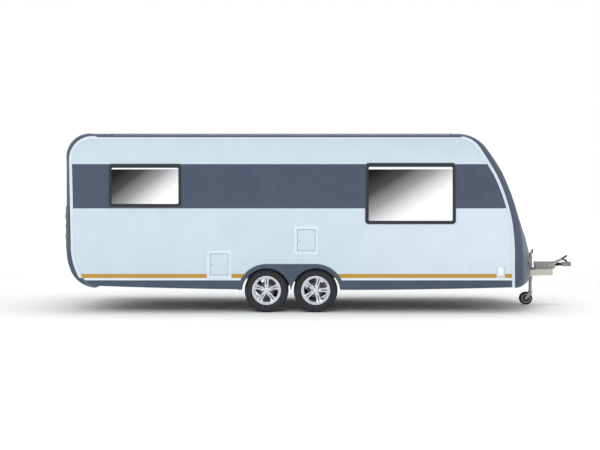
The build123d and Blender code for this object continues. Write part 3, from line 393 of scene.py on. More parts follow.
def pane_recipe(tree):
    """Tinted side glass with a painted reflection: dark at the upper rear and pale at the lower front."""
    _, x, y, z = places(tree)
    rear_pane = step(tree, x, -1.0, -0.9, 1.0, 0.0)
    width = step(tree, rear_pane, 0.0, 1.0, 1.21, 0.965)
    start = total(tree, product(tree, rear_pane, -3.682), 0.559)
    left = step(tree, y, 0.0, 0.1)
    left_front = product(tree, left, less(tree, 1.0, rear_pane))
    shift = product(tree, left_front, 0.4)
    # Painted reflection: a slope across each pane from its rear edge and down from 2.09 m.
    across = maths(tree, "DIVIDE", less(tree, less(tree, x, start), shift), width)
    down = maths(tree, "DIVIDE", less(tree, 2.09, z), 0.66)
    slope = total(tree, product(tree, across, 0.62), product(tree, down, 0.55))
    # The painted reflection runs from black through greys to near white.
    share = add(tree, "ValToRGB", {0: slope})
    reflection_ramp = share.color_ramp
    reflection_ramp.elements[0].position = 0.12
    reflection_ramp.elements[0].color = shade(8, 8, 10)
    reflection_ramp.elements[1].position = 0.86
    reflection_ramp.elements[1].color = shade(250, 250, 252)
    for position, tone in ((0.33, 66), (0.54, 150), (0.7, 214)):
        reflection_ramp.elements.new(position).color = shade(tone, tone, tone + 2)
    top = step(tree, z, 2.058, 2.060)
    colour = mix(tree, top, share.outputs[0], shade(244, 248, 252))
    nose = step(tree, x, 2.02, 2.04)
    return acrylic(tree, mix(tree, nose, colour, dark_tint(tree)))


def dark_pane_recipe(tree):
    """Dark tinted acrylic with faint smears."""
    return acrylic(tree, dark_tint(tree))


def lens_recipe(tree):
    """Rear lens plastic: red with a clear middle lamp, ribbed inside."""
    point, _, _, z = places(tree)
    clear = between(tree, z, 1.175, 1.305)
    ribs = add(tree, "TexWave", {"Vector": point, "Scale": 60.0}, bands_direction="Z").outputs["Fac"]
    red = mix(tree, ribs, shade(176, 14, 22), shade(222, 52, 52))
    white = mix(tree, ribs, shade(206, 206, 204), shade(244, 244, 242))
    film_mask = use(tree, film, Top=1.6, Amount=0.2)["Mask"]
    colour = mix(tree, clear, red, white)
    return {"Base Color": dusted(tree, colour, film_mask, 0.5),
            "Roughness": total(tree, film_mask, 0.1), "Normal": raised(tree, ribs, 0.0006)}


def roof_lens_recipe(tree):
    """Milky rooflight acrylic with faint crazing."""
    point = places(tree)[0]
    cloud = noise(tree, point, 0.12, 5.0)
    return {"Base Color": mix(tree, cloud, shade(196, 204, 208), shade(232, 236, 238)),
            "Roughness": step(tree, cloud, 0.3, 0.7, 0.12, 0.3), "Normal": raised(tree, cloud, 0.0008)}


def board_recipe(tree):
    """Floor board with a dark sealed underside."""
    point, _, _, z = places(tree)
    streak = noise(tree, stretched(tree, point, (1.2, 16.0, 16.0)), 1.0, 5.0)
    top = step(tree, z, 0.572, 0.580)
    ply = mix(tree, streak, shade(122, 96, 66), shade(158, 130, 94))
    sealed = mix(tree, streak, shade(34, 33, 32), shade(58, 56, 52))
    return {"Base Color": mix(tree, top, sealed, ply), "Roughness": step(tree, streak, 0.3, 0.7, 0.6, 0.8),
            "Normal": raised(tree, streak, 0.0006)}


def plate_recipe(tree):
    """Blank reflective plate with a fine cell pattern."""
    point = places(tree)[0]
    cells = add(tree, "TexVoronoi", {"Vector": point, "Scale": 420.0}).outputs["Distance"]
    return {"Base Color": mix(tree, step(tree, cells, 0.2, 0.6), shade(238, 238, 232), shade(216, 216, 206)),
            "Roughness": step(tree, cells, 0.1, 0.7, 0.2, 0.34), "Normal": raised(tree, cells, 0.0001)}


def laminate_recipe(tree):
    """Satin laminate of the inner boxes and the bulkhead."""
    point = places(tree)[0]
    cloud = noise(tree, point, 0.2, 5.0)
    dirty = use(tree, film, Top=0.9, Amount=0.5)["Mask"]
    pale = mix(tree, cloud, shade(206, 208, 206), shade(226, 228, 226))
    return {"Base Color": mix(tree, dirty, pale, dust_colour),
            "Roughness": step(tree, cloud, 0.2, 0.8, 0.4, 0.55),
            "Normal": use(tree, grain, Scale=500.0, Depth=0.3)["Normal"]}


wall_paint = finish("wall_paint", wall_recipe, coat_weight=0.3, coat_roughness=0.1)
slate_gelcoat = finish("slate_gelcoat", slate_recipe, specular_ior_level=0.25, coat_weight=0.08,
                       coat_roughness=0.15)
roof_skin = finish("roof_skin", roof_recipe)
rail_finish = finish("rail_finish", rail_recipe)
pale_plastic = finish("pale_plastic", plastic(shade(213, 230, 239), depth=0.15, dirt=0.05, dark=0.96))
leaf_plastic = finish("leaf_plastic", plastic(shade(202, 218, 227), depth=0.15, dirt=0.08, dark=0.96))
white_plastic = finish("white_plastic",
                       plastic(shade(240, 244, 246), rough=0.4, depth=0.2, dirt=0.1, dark=0.94))
frame_black = finish("frame_black", plastic(shade(24, 29, 45), rough=0.42, depth=0.15, dirt=0.05))
black_plastic = finish("black_plastic", plastic(shade(24, 24, 27), rough=0.5))
black_rubber = finish("black_rubber", plastic(shade(20, 20, 22), rough=0.65, scale=500.0, depth=0.5))
grey_plastic = finish("grey_plastic", plastic(shade(120, 124, 130)))
side_glass = finish("side_glass", pane_recipe, specular_ior_level=0.2, coat_weight=0.08, coat_roughness=0.03)
dark_glass = finish("dark_glass", dark_pane_recipe, coat_weight=0.6, coat_roughness=0.03)
lamp_lens = finish("lamp_lens", lens_recipe, coat_weight=0.7, coat_roughness=0.05)
roof_lens = finish("roof_lens", roof_lens_recipe, transmission_weight=0.25)
blank_plate = finish("blank_plate", plate_recipe)
tyre_rubber = finish("tyre_rubber", rubber_recipe)
wheel_alloy = finish("wheel_alloy", alloy_recipe, metallic=0.4, coat_weight=0.35, coat_roughness=0.1)
galvanised = finish("galvanised", metal(shade(120, 122, 120), shade(190, 191, 187)), metallic=0.55)
arm_zinc = finish("arm_zinc", metal(shade(176, 172, 160), shade(218, 214, 202)), metallic=0.35)
cast_grey = finish("cast_grey", metal(shade(112, 118, 116), shade(150, 156, 154), scale=400.0), metallic=0.5)
bolt_steel = finish("bolt_steel", metal(shade(140, 142, 146), shade(206, 208, 212), scale=300.0),
                    metallic=0.8)
drum_iron = finish("drum_iron", metal(shade(52, 48, 46), shade(92, 86, 80), scale=240.0), metallic=0.4)
floor_board = finish("floor_board", board_recipe)
laminate = finish("laminate", laminate_recipe)
lamp_clear = finish("lamp_clear", plastic(shade(232, 234, 232), rough=0.2, scale=300.0, depth=0.3, dirt=0.1))
lens_amber = finish("lens_amber", plastic(shade(226, 120, 22), rough=0.16, scale=300.0, depth=0.3, dirt=0.1))
bezel_bright = finish("bezel_bright", plastic(shade(168, 172, 178), rough=0.25, depth=0.1), metallic=0.6)

finishes = {
    "side_wall_right": wall_paint, "side_wall_left": wall_paint, "entrance_door": wall_paint,
    "front_panel": slate_gelcoat, "rear_panel": slate_gelcoat, "front_locker_lid": slate_gelcoat,
    "skirt_right": slate_gelcoat, "skirt_left": slate_gelcoat, "roof_panel": roof_skin,
    "edge_rail_right": rail_finish, "edge_rail_left": rail_finish,
    "window_frames": frame_black, "window_panes": side_glass, "door_window": dark_glass,
    "hatch_frames": pale_plastic, "service_door_rear": leaf_plastic, "service_door_mid": leaf_plastic,
    "inlet_flap": white_plastic, "locker_liners": laminate, "front_bulkhead": laminate,
    "wheel_box_right": laminate, "wheel_box_left": laminate, "floor_panel": floor_board,
    "door_handle": black_plastic, "rooflight_frame": white_plastic, "rooflight_lid": roof_lens,
    "lamp_housings": grey_plastic, "lamp_lenses": lamp_lens, "number_plate": blank_plate,
    "bellows": black_rubber, "coupling_handle": black_plastic, "coupling_head": cast_grey,
    "drawbar_arm_right": arm_zinc, "drawbar_arm_left": arm_zinc, "jockey_wheel": black_rubber,
}
for node_name, solid in solids.items():
    solid.data.materials.clear()
    solid.data.materials.append(finishes.get(node_name, galvanised))


# Shapes worked out as grids of points


def grid_faces(rows, columns, wrap_rows, wrap_columns):
    """Quads between neighbouring rows and columns, joined round where the grid wraps."""
    row = np.arange(rows if wrap_rows else rows - 1)
    column = np.arange(columns if wrap_columns else columns - 1)
    r, c = np.meshgrid(row, column, indexing="ij")
    next_r = (r + 1) % rows
    next_c = (c + 1) % columns
    corners = [r * columns + c, r * columns + next_c, next_r * columns + next_c, next_r * columns + c]
    return np.stack(corners, -1).reshape(-1, 4)


def surface(points, wrap_rows=False, wrap_columns=False):
    """A shape from a grid of points of rows by columns by three."""
    rows, columns = points.shape[:2]
    return points.reshape(-1, 3), grid_faces(rows, columns, wrap_rows, wrap_columns)


def piece(name, shapes, material, body, smooth=35):
    """One object from several shapes, its doubles merged and its faces turned outwards, on a body."""
    points = np.concatenate([shape[0] for shape in shapes])
    starts = np.cumsum([0] + [len(shape[0]) for shape in shapes[:-1]])
    faces = np.concatenate([shape[1] + start for shape, start in zip(shapes, starts)])
    mesh = bpy.data.meshes.new(name)
    mesh.from_pydata(points.tolist(), [], faces.tolist())
    work = bmesh.new()
    work.from_mesh(mesh)
    bmesh.ops.remove_doubles(work, verts=work.verts, dist=1e-6)
    bmesh.ops.recalc_face_normals(work, faces=work.faces)
    work.to_mesh(mesh)
    work.free()
    mesh.shade_smooth()
    mesh.set_sharp_from_angle(angle=math.radians(smooth))
    mesh.materials.append(material)
    made = bpy.data.objects.new(name, mesh)
    bpy.context.scene.collection.objects.link(made)
    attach(made, body)
    return made


def seated(shape, origin, right, up):
    """A shape given as right, up and out, carried to its seat."""
    right = np.array(right, float)
    up = np.array(up, float)
    axes = np.stack([right, up, np.cross(right, up)])
    return np.array(origin, float) + shape[0] @ axes, shape[1]


def closed_ends(points):
    """The grid with its first and last rows gathered to their middles."""
    first = np.broadcast_to(points[0].mean(0), points[0].shape)
    last = np.broadcast_to(points[-1].mean(0), points[-1].shape)
    return np.concatenate([first[None], points, last[None]])


def lathe(profile, steps=32, ring=False):
    """A turned shape: each row of the profile is a height along the axis and a radius; ring closes it."""
    profile = np.array(profile, float)
    angle = np.arange(steps) / steps * 2 * np.pi
    circle = np.stack([np.cos(angle), np.sin(angle), np.zeros(steps)], -1)
    points = circle[None] * profile[:, 1, None, None] + profile[:, 0, None, None] * np.array([0, 0, 1.0])
    return surface(points, wrap_rows=ring, wrap_columns=True)


def rounded_outline(width, height, corner, steps):
    """Points round a rectangle with round corners, anticlockwise from the right-hand side."""
    turn = np.linspace(0, np.pi / 2, steps)
    quarter = np.concatenate([turn + k * np.pi / 2 for k in range(4)])
    sign_x = np.repeat([1, -1, -1, 1], steps)
    sign_y = np.repeat([1, 1, -1, -1], steps)
    x = sign_x * (width / 2 - corner) + corner * np.cos(quarter)
    y = sign_y * (height / 2 - corner) + corner * np.sin(quarter)
    return np.stack([x, y], -1)


def plate(width, height, corner, rows, steps=6, hollow=False):
    """A rounded rectangle built up in rows of inset and lift; hollow joins the last row to the first."""
    rings = []
    for inset, lift in rows:
        outline = rounded_outline(width - 2 * inset, height - 2 * inset, max(corner - inset, 1e-4), steps)
        rings.append(np.column_stack([outline, np.full(len(outline), lift)]))
    points = np.stack(rings)
    if hollow:
        return surface(points, wrap_rows=True, wrap_columns=True)
    return surface(closed_ends(points), wrap_columns=True)


def cushion_edge(lift, edge):
    """Rows for a slab of that lift with its upper edge rounded off."""
    turn = np.linspace(0, np.pi / 2, 4)
    return [(0, 0)] + [(edge * (1 - math.cos(t)), lift - edge + edge * math.sin(t)) for t in turn]


def swept(path, profile, side, closed=False):
    """A closed profile carried along a path, its first number along side and its second square to both."""
    path = np.array(path, float)
    profile = np.array(profile, float)
    along = np.roll(path, -1, 0) - np.roll(path, 1, 0) if closed else np.gradient(path, axis=0)
    along /= np.linalg.norm(along, axis=1, keepdims=True)
    across = np.broadcast_to(np.array(side, float), path.shape)
    across = across - (across * along).sum(1, keepdims=True) * along
    across /= np.linalg.norm(across, axis=1, keepdims=True)
    square = np.cross(along, across)
    points = path[:, None] + profile[None, :, :1] * across[:, None] + profile[None, :, 1:] * square[:, None]
    if closed:
        return surface(points, wrap_rows=True, wrap_columns=True)
    return surface(closed_ends(points), wrap_columns=True)


def round_profile(radius, steps=12):
    """A circle as a closed profile."""
    angle = np.arange(steps) / steps * 2 * np.pi
    return np.stack([radius * np.cos(angle), radius * np.sin(angle)], -1)


def flat_profile(width, height, corner=0.0008):
    """A rounded bar as a closed profile."""
    return rounded_outline(width, height, corner, 3)


def curve(points, count):
    """A smooth path through the points: cubic in the share of the way along, by pieces."""
    points = np.array(points, float)
    knot = np.arange(len(points))
    slope = np.gradient(points, axis=0)
    at = np.linspace(0, len(points) - 1, count)
    i = np.minimum(at.astype(int), len(points) - 2)
    t = (at - knot[i])[:, None]
    start, end, rise, fall = points[i], points[i + 1], slope[i], slope[i + 1]
    return ((2 * t**3 - 3 * t**2 + 1) * start + (t**3 - 2 * t**2 + t) * rise
            + (3 * t**2 - 2 * t**3) * end + (t**3 - t**2) * fall)


def wall_seat(side, x, z, y=half_width):
    """Origin, right and up of a piece seated on a side of the body, facing out."""
    return (x, side * y, z), (-side, 0, 0), (0, 0, 1)


def dome_bolt(radius, lift):
    """A domed fastener head."""
    return lathe([(0, 0), (0, radius), (lift * 0.35, radius), (lift * 0.75, radius * 0.8),
                  (lift, radius * 0.4), (lift, 0)], 16)


def hex_bolt(across, lift):
    """A hexagon head on a washer."""
    washer = lathe([(0, 0), (0, across * 0.75), (lift * 0.2, across * 0.75), (lift * 0.2, 0)], 18)
    head = lathe([(lift * 0.2, 0), (lift * 0.2, across * 0.577), (lift * 0.85, across * 0.577),
                  (lift, across * 0.48), (lift, 0)], 6)
    return join(washer, head)


def join(*shapes):
    """Several shapes as one."""
    starts = np.cumsum([0] + [len(shape[0]) for shape in shapes[:-1]])
    return (np.concatenate([shape[0] for shape in shapes]),
            np.concatenate([shape[1] + start for shape, start in zip(shapes, starts)]))


def moved(shape, offset):
    """The shape moved by an offset."""
    return shape[0] + np.array(offset, float), shape[1]


# Wheels: tyre with tread, cast face, drum, bolts and valve

tread_half, tread_lift, tread_inner = 0.083, 0.0095, 0.298
groove_places, groove_half, groove_depth = (-0.042, -0.014, 0.014, 0.042), 0.0034, 0.0075
wall_half, wall_root, wall_low_r, wall_high_r = 0.0975, 0.084, 0.214, 0.3055
block_count = 64
hub_radius, ring_radius, bolt_circle = 0.064, 0.172, 0.050
opening_depth = 0.012
edge_drop = 0.006


def tyre_shape():
    """Tyre as a closed section carried round: grooves and shoulder blocks are cut from the tread radius.
    The tread falls off with the sixth power of its width, the walls swell as a sine with three raised ribs,
    and the blocks are cut where a phase that runs round the tyre comes near one half.
    """
    tread_w = np.linspace(-tread_half, tread_half, 45)
    crown = tyre_radius - tread_lift * np.abs(tread_w / tread_half) ** 6
    groove = np.zeros_like(tread_w)
    for centre in groove_places:
        groove = np.maximum(groove, np.clip(1.4 - np.abs(tread_w - centre) / groove_half, 0, 1))
    tread_r = crown - groove_depth * groove
    turn = np.linspace(0, 1, 22)[1:-1]
    wall_w = wall_root + (wall_half - wall_root) * np.sin(np.pi * turn) ** 0.8
    wall_r = wall_low_r + (wall_high_r - wall_low_r) * turn
    rib = 0.0011 * (np.exp(-((turn - 0.18) / 0.03) ** 2) + np.exp(-((turn - 0.8) / 0.025) ** 2)
                    + np.exp(-((turn - 0.86) / 0.02) ** 2))
    wall_w = np.minimum(wall_w + rib, wall_half)
    bead_w = np.array([0.084, 0.080, -0.080, -0.084])
    bead_r = np.array([0.2121, 0.198, 0.198, 0.2121])
    section_w = np.concatenate([tread_w, wall_w[::-1], bead_w, -wall_w])
    section_r = np.concatenate([tread_r, wall_r[::-1], bead_r, wall_r])
    columns = 384
    angle = np.arange(columns) / columns * 2 * np.pi
    phase = (angle[None] * block_count / (2 * np.pi) + 6.0 * np.abs(section_w[:, None])) % 1.0
    slot = np.clip(1.5 - np.abs(phase - 0.5) / 0.11, 0, 1)
    outer_part = (section_r > tread_inner) & (np.abs(section_w) > 0.050)
    middle_part = (section_r > tread_inner) & (np.abs(section_w) < 0.036)
    depth = np.where(outer_part, 0.0055, 0.0) + np.where(middle_part, 0.0025, 0.0)
    radius = section_r[:, None] - depth[:, None] * slot
    points = np.stack([radius * np.cos(angle), radius * np.sin(angle),
                       np.broadcast_to(section_w[:, None], radius.shape)], -1)
    return surface(points, wrap_rows=True, wrap_columns=True)


def face_shape(start):
    """Cast face as depth over radius and angle: hub, five twin spokes and rim ring stand proud of the
    openings, whose facets are left out. The three distances are blended as the logarithm of the sum of
    their exponentials, and the edge is rounded as a quarter circle.
    """
    columns = 480
    radius = np.concatenate([np.linspace(0.0, 0.030, 4), np.linspace(0.034, 0.062, 9),
                             np.linspace(0.066, 0.166, 34), np.linspace(0.169, 0.196, 12)])
    angle = np.arange(columns) / columns * 2 * np.pi
    r, a = np.meshgrid(radius, angle, indexing="ij")
    pitch = 2 * np.pi / 5
    off = (a - math.radians(start) + pitch / 2) % pitch - pitch / 2
    across = r * np.sin(off)
    along = r * np.cos(off)
    share = np.clip((along - 0.055) / 0.12, 0, 1)
    half_spoke = 0.030 - 0.006 * np.sin(np.pi * share) + 0.016 * share**3
    half_slot = np.clip((along - 0.068) / 0.02, 0, 1) ** 0.5 * (0.0055 + 0.004 * share)
    bar = np.minimum(half_spoke - np.abs(across), np.abs(across) - half_slot)
    soft = 0.006
    distances = (bar, hub_radius - r, r - ring_radius)
    powers = [np.exp(np.clip(distance / soft, -30, 30)) for distance in distances]
    grown = soft * np.log(powers[0] + powers[1] + powers[2])
    edge = np.clip(grown / 0.0045, 0, 1)
    round_edge = np.sqrt(1 - (1 - edge) ** 2)
    swell = np.where(r < hub_radius, 0.060 + 0.004 * np.cos(r / hub_radius * np.pi / 2), 0.0)
    dip = 0.010 * np.sin(np.pi * np.clip((r - 0.05) / 0.12, 0, 1))
    rise = 0.010 * np.clip((r - 0.15) / 0.03, 0, 1) ** 2
    spoke_top = 0.0575 - dip + rise
    top = np.where(r < hub_radius, np.maximum(swell, spoke_top), spoke_top)
    wells = np.zeros_like(r)
    for k in range(5):
        well_angle = math.radians(start + 36 + 72 * k)
        gap = np.hypot(r * np.cos(a) - bolt_circle * math.cos(well_angle),
                       r * np.sin(a) - bolt_circle * math.sin(well_angle))
        wells = np.maximum(wells, np.clip(1.35 - gap / 0.011, 0, 1))
    top = top - 0.010 * wells
    sink = np.clip(-grown / 0.004, 0, 1)
    depth = np.where(grown > 0, top - edge_drop * (1 - round_edge),
                     (top - edge_drop) * (1 - sink) + opening_depth * sink)
    points = np.stack([r * np.cos(a), r * np.sin(a), depth], -1)
    vertices, faces = surface(points, wrap_columns=True)
    open_vertex = (grown < -0.0045).reshape(-1)
    return vertices, faces[~open_vertex[faces].all(1)]


def on_wheel(shape, end, side, lift=0.0, radius=0.0, degrees=0.0):
    """The shape seated on a wheel at a lift, a radius and an angle."""
    turn = math.radians(degrees)
    offset = (radius * math.cos(turn), radius * math.sin(turn), lift)
    return seated(moved(shape, offset), *wall_seat(side, wheels[end][0], tyre_radius, wheel_y))


tyre_solid = tyre_shape()
barrel_solid = lathe([(0.0920, 0.1960), (0.0920, 0.2055), (0.0905, 0.2080), (0.0855, 0.2080),
                      (0.0840, 0.2060), (0.0840, 0.1910), (0.0500, 0.1880), (0.0300, 0.1800),
                      (-0.0300, 0.1790), (-0.0500, 0.1880), (-0.0840, 0.1910), (-0.0840, 0.2070),
                      (-0.0920, 0.2080), (-0.0920, 0.1880), (-0.0500, 0.1800), (-0.0300, 0.1720),
                      (0.0300, 0.1720), (0.0500, 0.1800), (0.0780, 0.1900)], 96, ring=True)
drum = lathe([(-0.065, 0.029), (-0.065, 0.112), (-0.060, 0.120), (-0.020, 0.120), (-0.016, 0.116),
              (0.010, 0.116), (0.018, 0.108), (0.022, 0.080), (0.022, 0.040), (0.048, 0.040),
              (0.048, 0.0), (0.020, 0.0), (0.020, 0.029)], 64)
cap = lathe([(0.060, 0.0), (0.060, 0.031), (0.0645, 0.031), (0.0665, 0.028), (0.0665, 0.022),
             (0.0655, 0.020), (0.0665, 0.0)], 40)
valve = lathe([(0.070, 0.0), (0.070, 0.005), (0.088, 0.004), (0.088, 0.0055), (0.0915, 0.005),
               (0.0915, 0.0)], 12)
wheel_bolt = hex_bolt(0.017, 0.016)
valve_radius = 0.180

for end, (_, start) in wheels.items():
    face_solid = face_shape(start)
    for side, side_name in side_names.items():
        body = f"wheel_{end}_{side_name}"
        tread = on_wheel(tyre_solid, end, side)
        tyre = piece(f"tyre_tread_{end}_{side_name}", [tread], tyre_rubber, body, 40)
        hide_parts(f"tyre_{end}_{side_name}")
        castings = [on_wheel(face_solid, end, side), on_wheel(barrel_solid, end, side)]
        cast = piece(f"wheel_cast_{end}_{side_name}", castings, wheel_alloy, body, 50)
        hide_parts(f"rim_{end}_{side_name}")
        piece(f"brake_drum_{end}_{side_name}", [on_wheel(drum, end, side)], drum_iron, body)
        bolts = [on_wheel(wheel_bolt, end, side, 0.052, bolt_circle, start + 36 + 72 * k) for k in range(5)]
        piece(f"wheel_bolts_{end}_{side_name}", bolts, cast_grey, body)
        piece(f"wheel_cap_{end}_{side_name}", [on_wheel(cap, end, side)], wheel_alloy, body)
        stem = on_wheel(valve, end, side, 0.0, valve_radius, start + 36)
        piece(f"wheel_valve_{end}_{side_name}", [stem], black_rubber, body)


# Seats on the body's faces and on its curved skin

skins = {name: BVHTree.FromObject(solids[name], bpy.context.evaluated_depsgraph_get())
         for name in ("roof_panel", "front_panel", "rear_panel", "front_locker_lid", "drawbar_arm_right",
                      "drawbar_arm_left", "overrun_housing", "edge_rail_right", "edge_rail_left")}
far_off = 5.0


def hit(names, start, way):
    """The nearest point of those solids from start along way, and the way out of the surface there."""
    found = [skins[name].ray_cast(start, way) for name in names]
    near = min((cast for cast in found if cast[0] is not None), key=lambda cast: cast[3])
    normal = np.array(near[1])
    return np.array(near[0]), normal * (1.0 if normal @ np.array(way) < 0 else -1.0)


def from_above(names, x, y):
    """The highest point of those solids at x and y."""
    return hit(names, (x, float(y), far_off), (0, 0, -1))[0]


def on_wall(shape, side, x, z, y=half_width):
    """The shape seated on a side of the body."""
    return seated(shape, *wall_seat(side, x, z, y))


def on_top(shape, place):
    """The shape seated facing up."""
    return seated(shape, place, (1, 0, 0), (0, 1, 0))


def on_rear(shape, place):
    """The shape seated facing backwards."""
    return seated(shape, place, (0, -1, 0), (0, 0, 1))


def wall_ring(side, x_span, z_span, grow, corner, y):
    """A rounded rectangle on a side wall as a closed path, grown outwards all round."""
    outline = rounded_outline(x_span[1] - x_span[0] + 2 * grow, z_span[1] - z_span[0] + 2 * grow, corner, 8)
    return np.stack([outline[:, 0] + sum(x_span) / 2, np.full(len(outline), side * y),
                     outline[:, 1] + sum(z_span) / 2], -1)


def band(path, profile, side):
    """A profile carried right round a closed path."""
    return swept(path, profile, side, closed=True)


def tube(points, radius, count=40, steps=10):
    """A round bar or cable through the points."""
    return swept(curve(points, count), round_profile(radius, steps), (0.05, 0.1, 1.0))


# Rails, beads and seams of the shell

rail_ends = {"front": (1.0, (1.3, 1.35), (-34, 68)), "rear": (-1.0, (-2.75, 1.35), (-47, 71))}
rail_half = 0.020
bead_outline = [(-0.0005, -0.008), (-0.0005, 0.008), (0.0022, 0.0068), (0.0034, 0.0035), (0.0034, -0.0035),
                (0.0022, -0.0068)]
eave_y = half_width + 0.004
awning_profile = flat_profile(0.010, 0.016, 0.003)
seam_inset = 0.012
seam_half_y = 1.146
seam_profile = flat_profile(0.034, 0.003, 0.001)
seam_screw_y = np.linspace(-1.04, 1.04, 27)
rooflight_x = -2.5


def rail_line(side, end):
    """The middle line of an edge rail past the roof seam: where level rays in the side's plane meet its
    outer edge, moved half a rail inwards.
    """
    sign, middle, span = rail_ends[end]
    turn = np.radians(np.linspace(*span, 90))
    rays = np.stack([sign * np.cos(turn), np.zeros(90), np.sin(turn)], -1)
    start = np.array([middle[0], side * (half_width + rail_proud / 2), middle[1]]) + 4.0 * rays
    edge = np.array([hit([f"edge_rail_{side_names[side]}"], at, -ray)[0] for at, ray in zip(start, rays)])
    along = np.gradient(edge, axis=0)
    inward = np.stack([-along[:, 2], np.zeros(90), along[:, 0]], -1) * sign
    edge += rail_half * inward / np.linalg.norm(inward, axis=1, keepdims=True)
    edge[:, 1] = side * (half_width + rail_proud)
    return edge


def roof_line(x):
    """Points across the roof at x, from one eave to the other."""
    y = seam_half_y * np.sin(np.linspace(-np.pi / 2, np.pi / 2, 120))
    top = [from_above(["roof_panel"], x, at)[2] for at in y]
    return np.stack([np.full(120, x), y, top], -1)


for side, side_name in side_names.items():
    for end in rail_ends:
        ribbon = swept(rail_line(side, end), bead_outline, (0, side, 0))
        piece(f"rail_bead_{end}_{side_name}", [ribbon], rail_finish, "body")
    eave_line = np.stack([np.linspace(roof_rear_x - 0.15, roof_front_x + 0.1, 40),
                          np.full(40, side * eave_y), np.full(40, eave_z - 0.004)], -1)
    piece(f"awning_rail_{side_name}", [swept(eave_line, awning_profile, (0, 1, 0))], slate_gelcoat, "body")

seams, sealant, screws = [], [], []
for seam_x in (roof_front_x - seam_inset, roof_rear_x + seam_inset):
    across = roof_line(seam_x)
    seams.append(swept(across + (0, 0, 0.0008), seam_profile, (1, 0, 0)))
    for shift in (-0.019, 0.019):
        wander = np.stack([shift + 0.0012 * np.sin(across[:, 1] * 37), np.zeros(120), np.zeros(120)], -1)
        sealant.append(swept(across + wander, round_profile(0.0035, 6), (1, 0, 0)))
    for y in seam_screw_y:
        spot = from_above(["roof_panel"], seam_x, y) + (0, 0, 0.0022)
        screws.append(on_top(dome_bolt(0.0045, 0.0022), spot))
piece("roof_seam_strips", seams, slate_gelcoat, "body")
piece("roof_seam_sealant", sealant, grey_plastic, "body")
piece("roof_seam_screws", screws, bolt_steel, "body")
roof_seal = plate(0.536, 0.536, 0.030, [(0, 0), (0, 0.006), (0.008, 0.008), (0.008, 0)], hollow=True)
seal_z = from_above(["roof_panel"], rooflight_x, 0.275)[2] - 0.003
piece("rooflight_bedding", [on_top(roof_seal, (rooflight_x, 0, seal_z))], grey_plastic, "body")


# Side windows: seal round the pane, bedding round the frame, top hinge and corner caps

frame_face = half_width + frame_proud
window_hinge_y = half_width + 0.0065
cap_inset = 0.016

for name, (side, low_x, high_x, low_z, high_z) in windows.items():
    x_span, z_span, out = (low_x, high_x), (low_z, high_z), (0, side, 0)
    inner = wall_ring(side, x_span, z_span, -pane_inset, 0.022, frame_face - 0.0022)
    piece(f"window_seal_{name}", [band(inner, flat_profile(0.003, 0.009, 0.001), out)], black_rubber, "body")
    outer = wall_ring(side, x_span, z_span, 0.002, 0.046, half_width + 0.002)
    piece(f"window_bedding_{name}", [band(outer, round_profile(0.0035, 8), out)], grey_plastic, "body")
    hinge = [(low_x + 0.02, side * window_hinge_y, high_z + 0.006),
             (high_x - 0.02, side * window_hinge_y, high_z + 0.006)]
    bar = swept(curve(hinge, 8), flat_profile(0.012, 0.014, 0.0045), out)
    piece(f"window_hinge_{name}", [bar], frame_black, "body")
    caps = [on_wall(dome_bolt(0.006, 0.0015), side, x, z, frame_face - 0.0016)
            for z in (low_z + cap_inset, high_z - cap_inset)
            for x in (low_x + cap_inset, high_x - cap_inset)]
    piece(f"window_caps_{name}", caps, black_plastic, "body")


# Service doors: raised panel, lock, rim, bedding and hinge clips

hatch_face = half_width + hatch_proud
leaf_panel = plate(leaf_size[0] - 0.036, leaf_size[1] - 0.036, 0.010,
                   [(0, -0.001), (0.0015, 0.0008), (0.004, 0.0014), (0.010, 0.0008), (0.014, 0.0004)])
lock_barrel = join(lathe([(0, 0), (0, 0.0125), (0.003, 0.0125), (0.0042, 0.0112), (0.0042, 0.0075),
                          (0.0034, 0.0070), (0.0034, 0)], 28),
                   plate(0.0022, 0.009, 0.0010, [(0, 0.0030), (0, 0.0046)]))
hinge_clip = lathe([(-0.004, 0), (-0.004, 0.0042), (0.004, 0.0042), (0.004, 0)], 14)

for name, (x, z) in hatches.items():
    body = f"service_door_{name}"
    x_span = (x - hatch_size[0] / 2, x + hatch_size[0] / 2)
    z_span = (z - hatch_size[1] / 2, z + hatch_size[1] / 2)
    piece(f"hatch_panel_{name}", [on_wall(leaf_panel, -1, x, z, hatch_face)], leaf_plastic, body)
    lock_x = x - leaf_size[0] / 2 + 0.030
    piece(f"hatch_lock_{name}", [on_wall(lock_barrel, -1, lock_x, z - 0.006, hatch_face)], bolt_steel, body)
    rim = wall_ring(-1, x_span, z_span, -0.006, 0.019, hatch_face - 0.0008)
    piece(f"hatch_rim_{name}", [band(rim, round_profile(0.0032, 8), (0, -1, 0))], pale_plastic, "body")
    edge = wall_ring(-1, x_span, z_span, 0.001, 0.025, half_width + 0.001)
    piece(f"hatch_bedding_{name}", [band(edge, round_profile(0.0025, 6), (0, -1, 0))], white_plastic, "body")
    clips = [on_top(hinge_clip, (x + leaf_size[0] / 2, -hatch_face, z + offset + shift))
             for offset in (-leaf_size[1] / 3, leaf_size[1] / 3) for shift in (-0.026, 0.026)]
    piece(f"hatch_hinge_{name}", clips, pale_plastic, body)


# Supply inlet: flap cover, finger grip and socket

